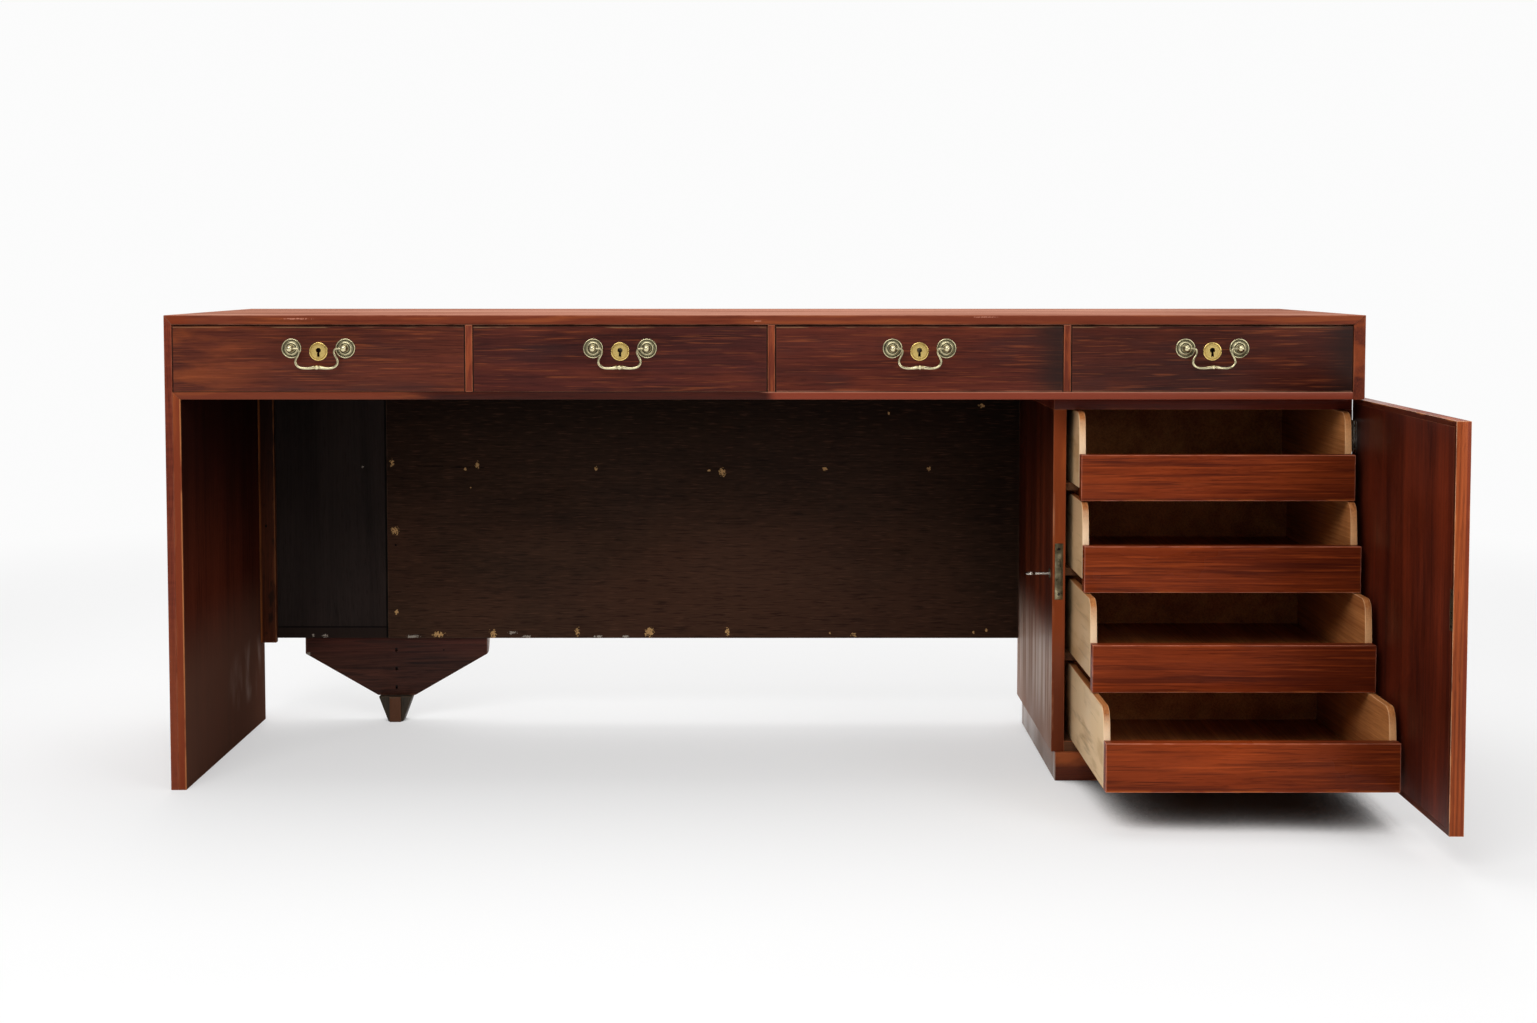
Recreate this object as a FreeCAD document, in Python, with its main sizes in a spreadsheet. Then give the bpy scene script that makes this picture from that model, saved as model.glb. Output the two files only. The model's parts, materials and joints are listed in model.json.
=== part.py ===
import FreeCAD, Part
import math
import os
import re

# A kneehole desk: a shallow case of four drawers on a left end panel and a
# right pedestal with a door and four trays. Millimetres, +Z up, front towards -Y.
# In the formulas X is 0 at the middle of the case and Y is 0 at its front face;
# origin_x and origin_y move that to the middle of the floor that the desk covers.

SIZES = {
    # The case
    "desk_width": 1850,
    "desk_height": 740,
    "desk_depth": 498,
    "case_height": 130,
    "top_thickness": 15,
    "left_side_thickness": 12,
    "right_side_thickness": 18,
    "case_floor_thickness": 12,
    "case_back_thickness": 10,
    "case_corner_radius": 3,
    "divider_thickness": 11,
    "bay_1_share": 0.2529,
    "bay_2_share": 0.2546,
    "bay_3_share": 0.249,
    # The left end
    "liner_thickness": 12,
    "liner_depth": 470,
    "batten_width": 28,
    "batten_thickness": 12,
    "batten_setback": 27,
    "batten_below_panel": 6,
    # The panel behind the kneehole
    "panel_thickness": 8,
    "panel_bottom": 150,
    "narrow_panel_width": 226,
    "narrow_panel_setback": 1.5,
    # The rear bracket and its foot
    "bracket_middle": 262.5,
    "bracket_width": 327,
    "bracket_tip_width": 67,
    "bracket_board_thickness": 18,
    "bracket_end_height": 30,
    "bracket_slope_height": 75,
    "bracket_lap": 40,
    "bracket_return_thickness": 9,
    "bracket_return_depth": 17,
    "bracket_screw_radius": 2.5,
    "bracket_screw_pitch": 34,
    "bracket_screw_depth": 6,
    "foot_top_width": 60,
    "foot_tip_width": 26,
    "foot_thickness": 30,
    "foot_lead": 13,
    "tongue_width": 20,
    "tongue_thickness": 5,
    # The pedestal
    "pedestal_width": 469.5,
    "pedestal_front": 61,
    "pedestal_depth": 409,
    "pedestal_left_thickness": 20,
    "pedestal_right_thickness": 12,
    "pedestal_top_thickness": 20,
    "pedestal_floor_thickness": 17,
    "pedestal_back_thickness": 8,
    "plinth_height": 45,
    "plinth_thickness": 20,
    "plinth_front": 55,
    "plinth_inset": 5,
    "plinth_rear_inset": 30,
    # The drawers
    "drawer_side_gap": 0.8,
    "drawer_top_gap": 1.6,
    "slide_gap": 0.3,
    "drawer_front_setback": 0.5,
    "drawer_front_thickness": 18,
    "drawer_length": 455,
    "drawer_side_thickness": 9,
    "drawer_side_height": 84,
    "drawer_back_height": 70,
    "drawer_base_thickness": 5,
    "drawer_base_height": 9,
    "groove_depth": 4,
    "stop_width": 40,
    "stop_length": 25,
    "stop_height": 6,
    # The handles
    "handle_drop": 36,
    "post_spacing": 83,
    "rosette_radius": 15.2,
    "rosette_rim_thickness": 1.8,
    "rosette_step_radius": 11.5,
    "rosette_step_thickness": 1.6,
    "rosette_boss_radius": 7.2,
    "rosette_boss_thickness": 2.4,
    "post_radius": 4.2,
    "post_head_radius": 5.6,
    "bail_reach": 13,
    "shank_radius": 2.4,
    "nut_radius": 5,
    "nut_thickness": 4,
    "bail_wire_radius": 1.7,
    "bail_hole_gap": 0.05,
    "bail_shoulder_half": 27,
    "bail_hip_half": 38.5,
    "bail_drop": 30,
    "bail_shoulder_bend": 5,
    "bail_hip_bend": 8,
    "bail_swell_radius": 3.1,
    "bail_swell_half": 13,
    "bead_radius": 3.6,
    "bead_width": 2.8,
    "bead_offset": 4.2,
    # The drawer locks
    "keyhole_drop": 39,
    "escutcheon_radius": 14.3,
    "escutcheon_thickness": 1.5,
    "keyhole_radius": 3.6,
    "key_slot_width": 3.6,
    "key_slot_drop": 9.5,
    "lock_width": 60,
    "lock_depth": 11,
    "lock_height": 44,
    "lock_plate_thickness": 1.5,
    "bolt_width": 22,
    "bolt_thickness": 5,
    "bolt_height": 20,
    "bolt_gap": 0.3,
    "bolt_travel": 6,
    "bolt_spare": 2,
    "bolt_below_edge": 0.5,
    # The trays
    "tray_left_gap": 12.5,
    "tray_right_gap": 3,
    "tray_top_gap": 1.2,
    "tray_height_share": 0.857,
    "tray_front_share": 0.52,
    "tray_front_thickness": 20,
    "tray_front_drop": 18,
    "tray_length": 370,
    "tray_side_thickness": 10,
    "tray_back_thickness": 10,
    "tray_back_drop": 7,
    "tray_base_thickness": 6,
    "tray_base_height": 9,
    "tray_shoulder_depth": 27,
    "tray_shoulder_height": 14,
    "tray_lean": 5,
    "tray_1_out": 72,
    "tray_2_out": 107,
    "tray_3_out": 185,
    "tray_4_out": 301,
    "tray_closed_gap": 2,
    "runner_height": 12,
    "runner_length": 360,
    "runner_setback": 25,
    # The door, measured from the pin of its hinges when it is shut
    "door_thickness": 20,
    "door_top_gap": 1,
    "door_bottom": 50,
    "door_free_inset": 3,
    "door_hinge_inset": 0.5,
    "door_shut_gap": 0.5,
    "door_open_angle": 89.2,
    "lipping_width": 8,
    "strike_width": 13,
    "strike_height": 56,
    "strike_rise": 22,
    "strike_thickness": 1.5,
    # The hinges
    "hinge_pin_outset": 1,
    "hinge_pin_forward": 2,
    "hinge_knuckle_radius": 3,
    "hinge_recess_gap": 0.4,
    "hinge_pin_radius": 1.2,
    "hinge_pin_gap": 0.05,
    "hinge_height": 50,
    "hinge_middle_knuckle": 17,
    "hinge_knuckle_gap": 0.3,
    "hinge_leaf_thickness": 1.2,
    "hinge_door_leaf_width": 22,
    "hinge_frame_leaf_width": 10,
    "upper_hinge_drop": 61,
    "lower_hinge_rise": 65,
    # The pedestal lock
    "faceplate_width": 13,
    "faceplate_height": 89,
    "faceplate_thickness": 1.5,
    "lock_height_share": 0.51,
    "faceplate_hole_radius": 1.6,
    "faceplate_hole_spacing": 72,
    "pedestal_lock_thickness": 11,
    "pedestal_lock_depth": 44,
    "pedestal_lock_height": 76,
    "side_bolt_width": 5,
    "side_bolt_height": 10,
    "side_bolt_rise": 15,
    "side_bolt_length": 34,
    "side_bolt_travel": 8,
    "key_setback": 28,
    "key_drop": 7,
    "key_radius": 2.2,
    "key_gap": 0.05,
    "key_reach": 39,
    "key_bow_radius": 8,
    "key_bow_wire_radius": 1.6,
    "key_bit_drop": 5,
    "key_bit_width": 4,
    "key_bit_thickness": 2,
    "key_chamber_radius": 8,
    "key_plate_radius": 8,
    "key_plate_thickness": 1,
    # One overrun for every cut that runs out of its piece
    "overrun": 1,
}

# Places and lengths that follow from the sizes
PLACES = {
    "case_left": "-desk_width/2",
    "case_right": "desk_width/2",
    "bay_left_1": "case_left + left_side_thickness",
    "bays_right": "case_right - right_side_thickness",
    "case_underside": "desk_height - case_height",
    "case_floor": "case_underside + case_floor_thickness",
    "top_underside": "desk_height - top_thickness",
    "bay_height": "top_underside - case_floor",
    "case_back_front": "desk_depth - case_back_thickness",
    "bays_width": "bays_right - bay_left_1 - 3*divider_thickness",
    "bay_right_1": "bay_left_1 + bay_1_share*bays_width",
    "bay_left_2": "bay_right_1 + divider_thickness",
    "bay_right_2": "bay_left_2 + bay_2_share*bays_width",
    "bay_left_3": "bay_right_2 + divider_thickness",
    "bay_right_3": "bay_left_3 + bay_3_share*bays_width",
    "bay_left_4": "bay_right_3 + divider_thickness",
    "bay_right_4": "bays_right",
    "liner_inside": "bay_left_1 + liner_thickness",
    "batten_front": "liner_depth - batten_setback",
    "panel_front": "batten_front + batten_thickness",
    "panel_height": "case_underside - panel_bottom",
    "batten_bottom": "panel_bottom - batten_below_panel",
    "panel_joint": "liner_inside + narrow_panel_width",
    "bracket_front": "panel_front + panel_thickness",
    "foot_front": "bracket_front - foot_lead",
    "bracket_x": "case_left + bracket_middle",
    "bracket_end_bottom": "panel_bottom - bracket_end_height",
    "bracket_tip": "bracket_end_bottom - bracket_slope_height",
    "return_bend": "(bracket_return_depth*bracket_return_depth + bracket_end_height*bracket_end_height)"
                   "/(2*bracket_return_depth)",
    "pedestal_x": "case_right - pedestal_width",
    "pedestal_rear": "pedestal_front + pedestal_depth",
    "side_height": "case_underside - pedestal_top_thickness - plinth_height",
    "pedestal_floor": "plinth_height + pedestal_floor_thickness",
    "hold_left": "pedestal_x + pedestal_left_thickness",
    "hold_right": "case_right - pedestal_right_thickness",
    "hold_width": "hold_right - hold_left",
    "plinth_x": "pedestal_x + plinth_inset",
    "plinth_right": "case_right - plinth_inset",
    "plinth_rear": "pedestal_rear - plinth_rear_inset",
    "drawer_bottom": "case_floor + slide_gap",
    "drawer_front_top": "top_underside - drawer_top_gap",
    "drawer_front_back": "drawer_front_setback + drawer_front_thickness",
    "drawer_rear": "drawer_front_setback + drawer_length",
    "handle_z": "top_underside - handle_drop",
    "keyhole_z": "top_underside - keyhole_drop",
    "bail_y": "drawer_front_setback - bail_reach",
    "lock_front": "drawer_front_back - lock_depth",
    "bolt_top": "drawer_front_top - bolt_below_edge",
    "bolt_front": "drawer_front_back - lock_depth + lock_plate_thickness + bolt_gap",
    "pin_x": "case_right + hinge_pin_outset",
    "pin_y": "pedestal_front - hinge_pin_forward",
    "door_inner": "hinge_pin_forward - door_shut_gap",
    "door_outer": "door_inner - door_thickness",
    "door_free": "pedestal_x + door_free_inset - pin_x",
    "door_hinge_edge": "-hinge_pin_outset - door_hinge_inset",
    "door_width": "door_hinge_edge - door_free",
    "door_height": "case_underside - door_top_gap - door_bottom",
    "reach_x": "max(door_hinge_edge*cos(door_open_angle); door_free*cos(door_open_angle))"
               " - door_outer*sin(door_open_angle)",
    "reach_y": "door_free*sin(door_open_angle) + door_outer*cos(door_open_angle)",
    "origin_x": "(case_left + pin_x + reach_x)/2",
    "origin_y": "(pin_y + reach_y + desk_depth)/2",
    "tray_pitch": "(case_underside - pedestal_top_thickness - pedestal_floor - slide_gap - tray_top_gap)"
                  "/(3 + tray_height_share)",
    "tray_height": "tray_height_share*tray_pitch",
    "tray_front_height": "tray_front_share*tray_pitch",
    "tray_back_bottom": "tray_base_height + tray_base_thickness",
    "tray_left": "hold_left + tray_left_gap",
    "tray_right": "hold_right - tray_right_gap",
    "tray_closed_y": "pedestal_front + tray_closed_gap",
    "runner_y": "pedestal_front + runner_setback",
    "upper_hinge_middle": "case_underside - upper_hinge_drop",
    "lower_hinge_middle": "plinth_height + lower_hinge_rise",
    "faceplate_middle": "plinth_height + lock_height_share*(case_underside - plinth_height)",
    "faceplate_bottom": "faceplate_middle - faceplate_height/2",
    "strike_middle": "faceplate_middle + strike_rise",
    "side_bolt_middle": "faceplate_middle + side_bolt_rise",
    "key_height": "faceplate_middle - key_drop",
    "side_middle": "pedestal_x + pedestal_left_thickness/2",
    "side_lock_front": "pedestal_front + faceplate_thickness",
    "key_y": "pedestal_front + key_setback",
}

DRAWER_COUNT = 4
TRAY_COUNT = 4

doc = FreeCAD.newDocument("desk")

sheet = doc.addObject("Spreadsheet::Sheet", "sizes")
for row, (alias, number) in enumerate(SIZES.items(), start=1):
    sheet.set(f"A{row}", alias)
    sheet.set(f"B{row}", str(number))
    sheet.setAlias(f"B{row}", alias)
doc.recompute()

places = doc.addObject("App::FeaturePython", "places")


def link(formula):
    """Point each word of a formula at its cell or place."""
    def target(match):
        word = match.group(0)
        if word in SIZES:
            return "sizes." + word
        if word in PLACES:
            return "places." + word
        return word
    return re.sub(r"[a-z][a-z0-9_]*", target, formula)


def bind(thing, links):
    for name, formula in links.items():
        thing.setExpression(name, link(formula))


for name, formula in PLACES.items():
    places.addProperty("App::PropertyFloat", name)
for name, formula in PLACES.items():
    places.setExpression(name, link(formula))
doc.recompute()


def mm(name):
    """The number behind a size or place."""
    if name in SIZES:
        return float(sheet.get(name))
    return getattr(places, name)


# Directions for a primitive's own axis, which starts along Z
ALONG_Z = FreeCAD.Rotation()
ALONG_X = FreeCAD.Rotation(FreeCAD.Vector(0, 1, 0), 90)
ALONG_Y = FreeCAD.Rotation(FreeCAD.Vector(1, 0, 0), -90)
TOWARDS_FRONT = FreeCAD.Rotation(FreeCAD.Vector(1, 0, 0), 90)
QUARTER_TURN = FreeCAD.Rotation(FreeCAD.Vector(0, 0, 1), 90)
# A wedge thins along its own Y: upwards for a lying board, sideways for an upright one
LYING_WEDGE = FreeCAD.Rotation(FreeCAD.Vector(1, 0, 0), 90)
UPRIGHT_WEDGE = FreeCAD.Rotation(FreeCAD.Vector(1, 1, 1), -120)

NODES = {}


def stand(thing, x, y, z, turn=ALONG_Z, from_pin=False):
    """Place a primitive by formulas, from the middle of the floor or from the door's pin."""
    thing.Placement = FreeCAD.Placement(FreeCAD.Vector(), turn)
    if not from_pin:
        x = f"{x} - origin_x"
        y = f"{y} - origin_y"
    bind(thing, {"Placement.Base.x": x, "Placement.Base.y": y, "Placement.Base.z": z})
    return thing


def box(name, x, y, z, width, depth, height, from_pin=False):
    thing = doc.addObject("Part::Box", name)
    bind(thing, {"Length": width, "Width": depth, "Height": height})
    return stand(thing, x, y, z, from_pin=from_pin)


def rod(name, x, y, z, radius, length, turn=ALONG_Z, from_pin=False):
    thing = doc.addObject("Part::Cylinder", name)
    bind(thing, {"Radius": radius, "Height": length})
    return stand(thing, x, y, z, turn, from_pin)


def cone(name, x, y, z, start_radius, end_radius, length, turn):
    thing = doc.addObject("Part::Cone", name)
    bind(thing, {"Radius1": start_radius, "Radius2": end_radius, "Height": length})
    return stand(thing, x, y, z, turn)


def ball(name, x, y, z, radius):
    thing = doc.addObject("Part::Sphere", name)
    bind(thing, {"Radius": radius})
    return stand(thing, x, y, z)


def wedge(name, x, y, z, thin, low, high, near, far, turn):
    """A board of trapezoid section. low and high are the ends of its two faces."""
    thing = doc.addObject("Part::Wedge", name)
    bind(thing, {
        "Ymin": "0", "Ymax": thin,
        "Xmin": low[0], "Xmax": low[1], "X2min": high[0], "X2max": high[1],
        "Zmin": near, "Zmax": far, "Z2min": near, "Z2max": far,
    })
    return stand(thing, x, y, z, turn)


def fuse(name, things):
    thing = doc.addObject("Part::MultiFuse", name)
    thing.Shapes = things
    return thing


def cut(name, base, *tools):
    thing = doc.addObject("Part::Cut", name)
    thing.Base = base
    thing.Tool = tools[0] if len(tools) == 1 else fuse(name + "_hollow", list(tools))
    return thing


def common(name, first, second):
    thing = doc.addObject("Part::Common", name)
    thing.Base = first
    thing.Tool = second
    return thing


def made(name, shape, x="0", y="0", z="0", from_pin=False):
    """A shape drawn by its own function, placed by formulas."""
    thing = doc.addObject("Part::Feature", name)
    thing.Shape = shape
    return stand(thing, x, y, z, from_pin=from_pin)


def node(label, *pieces):
    """Name a sub-part. Several pieces stay separate solids of one group."""
    thing = pieces[0]
    if len(pieces) > 1:
        thing = doc.addObject("Part::Compound", label)
        thing.Links = list(pieces)
    thing.Label = label
    NODES[label] = thing
    return thing


def hang_on_door(thing):
    """Stand a piece of the door at its pin, turned by the angle that it is open."""
    thing.Placement = FreeCAD.Placement(FreeCAD.Vector(), FreeCAD.Rotation(FreeCAD.Vector(0, 0, 1), 1))
    bind(thing, {
        "Placement.Base.x": "pin_x - origin_x",
        "Placement.Base.y": "pin_y - origin_y",
        "Placement.Rotation.Angle": "door_open_angle",
    })


def bay_middle(number):
    return f"(bay_left_{number} + bay_right_{number})/2"


# The case


def top_panel():
    board = wedge(
        "top_board", "0", "0", "top_underside", "top_thickness",
        ("bay_left_1", "bays_right"), ("case_left", "case_right"),
        "-desk_depth", "0", LYING_WEDGE)
    mortises = []
    for number in range(1, DRAWER_COUNT + 1):
        mortises.append(box(
            f"bolt_mortise_{number}",
            f"{bay_middle(number)} - bolt_width/2 - bolt_gap", "bolt_front - bolt_gap",
            "top_underside - overrun",
            "bolt_width + 2*bolt_gap", "bolt_thickness + 2*bolt_gap",
            "overrun + bolt_travel + bolt_spare"))
    node("top_panel", cut("top_panel", board, *mortises))


def case_sides():
    node("left_end_panel", wedge(
        "left_end_panel", "case_left", "0", "0", "left_side_thickness",
        ("0", "desk_height"), ("0", "top_underside"), "0", "desk_depth", UPRIGHT_WEDGE))
    node("left_end_liner", wedge(
        "left_end_liner", "bay_left_1", "0", "0", "liner_thickness",
        ("0", "case_floor"), ("0", "case_underside"), "0", "liner_depth", UPRIGHT_WEDGE))
    board = wedge(
        "right_side_board", "bays_right", "0", "case_underside", "right_side_thickness",
        ("0", "case_height - top_thickness"), ("0", "case_height"), "0", "desk_depth", UPRIGHT_WEDGE)
    corner = box(
        "corner_block", "case_right - case_corner_radius", "-overrun", "case_underside - overrun",
        "case_corner_radius + overrun", "desk_depth + 2*overrun", "case_corner_radius + overrun")
    round_edge = rod(
        "corner_round", "case_right - case_corner_radius", "-overrun",
        "case_underside + case_corner_radius", "case_corner_radius", "desk_depth + 2*overrun", ALONG_Y)
    node("case_right_side", cut("case_right_side", board, cut("corner_waste", corner, round_edge)))


def case_boards():
    node("case_floor_board", wedge(
        "case_floor_board", "0", "0", "case_underside", "case_floor_thickness",
        ("liner_inside", "bays_right"), ("bay_left_1", "bays_right"),
        "-case_back_front", "0", LYING_WEDGE))
    node("case_back", box(
        "case_back", "bay_left_1", "case_back_front", "case_underside",
        "bays_right - bay_left_1", "case_back_thickness", "top_underside - case_underside"))
    dividers = []
    for number in range(1, DRAWER_COUNT):
        dividers.append(box(
            f"divider_{number}", f"bay_right_{number}", "0", "case_floor",
            "divider_thickness", "case_back_front", "bay_height"))
    node("drawer_dividers", *dividers)
    stops = []
    inset = "drawer_side_gap + drawer_side_thickness + stop_width"
    for number in range(1, DRAWER_COUNT + 1):
        for side, x in (("left", f"bay_left_{number} + {inset}"),
                        ("right", f"bay_right_{number} - ({inset}) - stop_width")):
            stops.append(box(
                f"stop_{number}_{side}", x, "drawer_front_back + slide_gap", "case_floor",
                "stop_width", "stop_length", "stop_height"))
    node("drawer_stops", *stops)


# The left end and the rear of the kneehole


def kneehole_rear():
    node("kneehole_panel", box(
        "kneehole_panel", "panel_joint", "panel_front", "panel_bottom",
        "pedestal_x - panel_joint", "panel_thickness", "panel_height"))
    node("kneehole_narrow_panel", box(
        "kneehole_narrow_panel", "liner_inside", "panel_front + narrow_panel_setback", "panel_bottom",
        "narrow_panel_width", "panel_thickness - narrow_panel_setback", "panel_height"))
    node("back_batten", box(
        "back_batten", "liner_inside", "batten_front", "batten_bottom",
        "batten_width", "batten_thickness", "case_underside - batten_bottom"))


def bracket_return(side, x):
    """A square board's end, its lower edge curving up to the rear."""
    y = "bracket_front + bracket_board_thickness"
    block = box(
        f"bracket_{side}_block", x, y, "bracket_end_bottom",
        "bracket_return_thickness", "bracket_return_depth", "bracket_end_height")
    bend = rod(
        f"bracket_{side}_bend", x, f"{y} + bracket_return_depth - return_bend", "panel_bottom",
        "return_bend", "bracket_return_thickness", ALONG_X)
    return common(f"bracket_{side}_return", block, bend)


def rear_bracket():
    head = box(
        "bracket_head", "bracket_x - bracket_width/2", "bracket_front", "bracket_end_bottom",
        "bracket_width", "bracket_board_thickness", "bracket_end_height + bracket_lap")
    slopes = wedge(
        "bracket_slopes", "bracket_x", "bracket_front", "bracket_tip", "bracket_slope_height",
        ("-bracket_tip_width/2", "bracket_tip_width/2"), ("-bracket_width/2", "bracket_width/2"),
        "-bracket_board_thickness", "0", LYING_WEDGE)
    holes = []
    for number in range(3):
        holes.append(rod(
            f"bracket_screw_hole_{number}", "bracket_x", "bracket_front - overrun",
            f"bracket_tip + foot_tip_width/2 + {number}*bracket_screw_pitch",
            "bracket_screw_radius", "bracket_screw_depth + overrun", ALONG_Y))
    node(
        "rear_bracket",
        cut("bracket_board", fuse("bracket_blank", [head, slopes]), *holes),
        bracket_return("left", "bracket_x - bracket_width/2"),
        bracket_return("right", "bracket_x + bracket_width/2 - bracket_return_thickness"))
    block = wedge(
        "foot_block", "bracket_x", "foot_front", "0", "bracket_tip",
        ("-foot_tip_width/2", "foot_tip_width/2"), ("-foot_top_width/2", "foot_top_width/2"),
        "-foot_thickness", "0", LYING_WEDGE)
    tongue = box(
        "foot_tongue", "bracket_x - tongue_width/2", "foot_front - tongue_thickness", "0",
        "tongue_width", "tongue_thickness + overrun", "bracket_tip")
    node("rear_foot", fuse("rear_foot", [block, tongue]))


# The pedestal


def pedestal_sides():
    side = box(
        "left_side_board", "pedestal_x", "pedestal_front", "plinth_height",
        "pedestal_left_thickness", "pedestal_depth", "side_height")
    plate_seat = box(
        "faceplate_seat", "side_middle - faceplate_width/2", "pedestal_front - overrun", "faceplate_bottom",
        "faceplate_width", "overrun + faceplate_thickness", "faceplate_height")
    lock_seat = box(
        "lock_mortise", "side_middle - pedestal_lock_thickness/2", "pedestal_front",
        "faceplate_middle - pedestal_lock_height/2",
        "pedestal_lock_thickness", "faceplate_thickness + pedestal_lock_depth", "pedestal_lock_height")
    key_way = rod(
        "side_keyhole", "pedestal_x - overrun", "key_y", "key_height",
        "key_radius + key_plate_thickness", "overrun + pedestal_left_thickness/2", ALONG_X)
    node("pedestal_left_side", cut("pedestal_left_side", side, plate_seat, lock_seat, key_way))

    side = box(
        "right_side_blank", "hold_right", "pedestal_front", "plinth_height",
        "pedestal_right_thickness", "pedestal_depth", "side_height")
    seats = []
    for name in ("upper", "lower"):
        low = f"{name}_hinge_middle - hinge_height/2"
        seats.append(box(
            f"{name}_leaf_seat", "case_right - hinge_frame_leaf_width", "pedestal_front - overrun", low,
            "hinge_frame_leaf_width + overrun", "overrun + hinge_leaf_thickness", "hinge_height"))
        seats.append(rod(
            f"{name}_knuckle_seat", "pin_x", "pin_y", low,
            "hinge_knuckle_radius + hinge_recess_gap", "hinge_height"))
    node("pedestal_right_side", cut("pedestal_right_side", side, *seats))


def pedestal_boards():
    node("pedestal_top", box(
        "pedestal_top", "pedestal_x", "pedestal_front", "case_underside - pedestal_top_thickness",
        "pedestal_width", "pedestal_depth", "pedestal_top_thickness"))
    node("pedestal_floor_board", box(
        "pedestal_floor_board", "hold_left", "pedestal_front", "plinth_height",
        "hold_width", "pedestal_depth", "pedestal_floor_thickness"))
    node("pedestal_back", box(
        "pedestal_back", "hold_left", "pedestal_rear - pedestal_back_thickness", "pedestal_floor",
        "hold_width", "pedestal_back_thickness", "side_height - pedestal_floor_thickness"))
    side_length = "plinth_rear - plinth_front - 2*plinth_thickness"
    node(
        "plinth",
        box("plinth_front_board", "plinth_x", "plinth_front", "0",
            "plinth_right - plinth_x", "plinth_thickness", "plinth_height"),
        box("plinth_rear_board", "plinth_x", "plinth_rear - plinth_thickness", "0",
            "plinth_right - plinth_x", "plinth_thickness", "plinth_height"),
        box("plinth_left_board", "plinth_x", "plinth_front + plinth_thickness", "0",
            "plinth_thickness", side_length, "plinth_height"),
        box("plinth_right_board", "plinth_right - plinth_thickness", "plinth_front + plinth_thickness", "0",
            "plinth_thickness", side_length, "plinth_height"))


def tray_level(number):
    """Height of the underside of a tray's sides. Tray 4 is the lowest and runs on the floor."""
    steps = TRAY_COUNT - number
    return f"pedestal_floor + slide_gap + {steps}*tray_pitch"


def tray_runners():
    runners = []
    for number in range(1, TRAY_COUNT):
        low = f"{tray_level(number)} - slide_gap - runner_height"
        runners.append(box(
            f"runner_{number}_left", "hold_left", "runner_y", low,
            "tray_left_gap + tray_side_thickness", "runner_length", "runner_height"))
        runners.append(box(
            f"runner_{number}_right", "tray_right - tray_side_thickness", "runner_y", low,
            "tray_right_gap + tray_side_thickness", "runner_length", "runner_height"))
    node("tray_runners", *runners)


def pedestal_lock():
    low = "faceplate_middle - pedestal_lock_height/2"
    case = box(
        "side_lock_case", "side_middle - pedestal_lock_thickness/2", "side_lock_front", low,
        "pedestal_lock_thickness", "pedestal_lock_depth", "pedestal_lock_height")
    channel = box(
        "side_bolt_channel", "side_middle - side_bolt_width/2 - bolt_gap", "pedestal_front - overrun",
        "side_bolt_middle - side_bolt_height/2 - bolt_gap",
        "side_bolt_width + 2*bolt_gap", "overrun + faceplate_thickness + side_bolt_length + bolt_gap",
        "side_bolt_height + 2*bolt_gap")
    chamber = rod(
        "key_chamber", "side_middle - key_bit_width", "key_y", "key_height",
        "key_chamber_radius", "2*key_bit_width", ALONG_X)
    key_way = rod(
        "lock_key_way", "pedestal_x", "key_y", "key_height",
        "key_radius + key_gap", "pedestal_left_thickness/2", ALONG_X)
    plate = box(
        "side_faceplate_blank", "side_middle - faceplate_width/2", "pedestal_front", "faceplate_bottom",
        "faceplate_width", "faceplate_thickness", "faceplate_height")
    holes = [channel]
    for name, sign in (("upper", "+"), ("lower", "-")):
        holes.append(rod(
            f"faceplate_hole_{name}", "side_middle", "pedestal_front - overrun",
            f"faceplate_middle {sign} faceplate_hole_spacing/2",
            "faceplate_hole_radius", "faceplate_thickness + overrun", ALONG_Y))
    bush = fuse("key_bush", [
        rod("key_plate", "pedestal_x - key_plate_thickness", "key_y", "key_height",
            "key_plate_radius", "key_plate_thickness", ALONG_X),
        rod("key_tube", "pedestal_x - key_plate_thickness", "key_y", "key_height",
            "key_radius + key_plate_thickness",
            "key_plate_thickness + (pedestal_left_thickness - pedestal_lock_thickness)/2", ALONG_X),
    ])
    bush_hole = rod(
        "key_bush_hole", "pedestal_x - key_plate_thickness - overrun", "key_y", "key_height",
        "key_radius + key_gap", "pedestal_left_thickness", ALONG_X)
    node(
        "pedestal_lock",
        cut("side_lock_body", case, channel, chamber, key_way),
        cut("side_faceplate", plate, *holes),
        cut("key_escutcheon", bush, bush_hole))

    node("pedestal_lock_bolt", box(
        "pedestal_lock_bolt", "side_middle - side_bolt_width/2", "pedestal_front + bolt_gap",
        "side_bolt_middle - side_bolt_height/2",
        "side_bolt_width", "side_bolt_length", "side_bolt_height"))


def pedestal_key():
    shaft = rod(
        "key_shaft", "pedestal_x - key_reach + key_bow_radius", "key_y", "key_height",
        "key_radius", "key_reach - key_bow_radius + pedestal_left_thickness/2 + key_bit_width/2", ALONG_X)
    bow = doc.addObject("Part::Torus", "key_bow")
    bind(bow, {"Radius1": "key_bow_radius - key_bow_wire_radius", "Radius2": "key_bow_wire_radius"})
    stand(bow, "pedestal_x - key_reach + key_bow_radius", "key_y", "key_height", QUARTER_TURN)
    bit = box(
        "key_bit", "side_middle - key_bit_width/2", "key_y - key_bit_thickness/2",
        "key_height - key_radius - key_bit_drop",
        "key_bit_width", "key_bit_thickness", "key_radius + key_bit_drop")
    eye = rod(
        "key_eye", "pedestal_x - key_reach + key_bow_radius", "key_y", "key_height - key_bow_radius",
        "key_bow_radius - key_bow_wire_radius", "2*key_bow_radius")
    solid = fuse("key_solid", [cut("key_stem", shaft, eye), bow, bit])
    node("pedestal_key", solid)


# The hinges and the door


def hinge_low(name):
    return f"{name}_hinge_middle - hinge_height/2"


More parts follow.
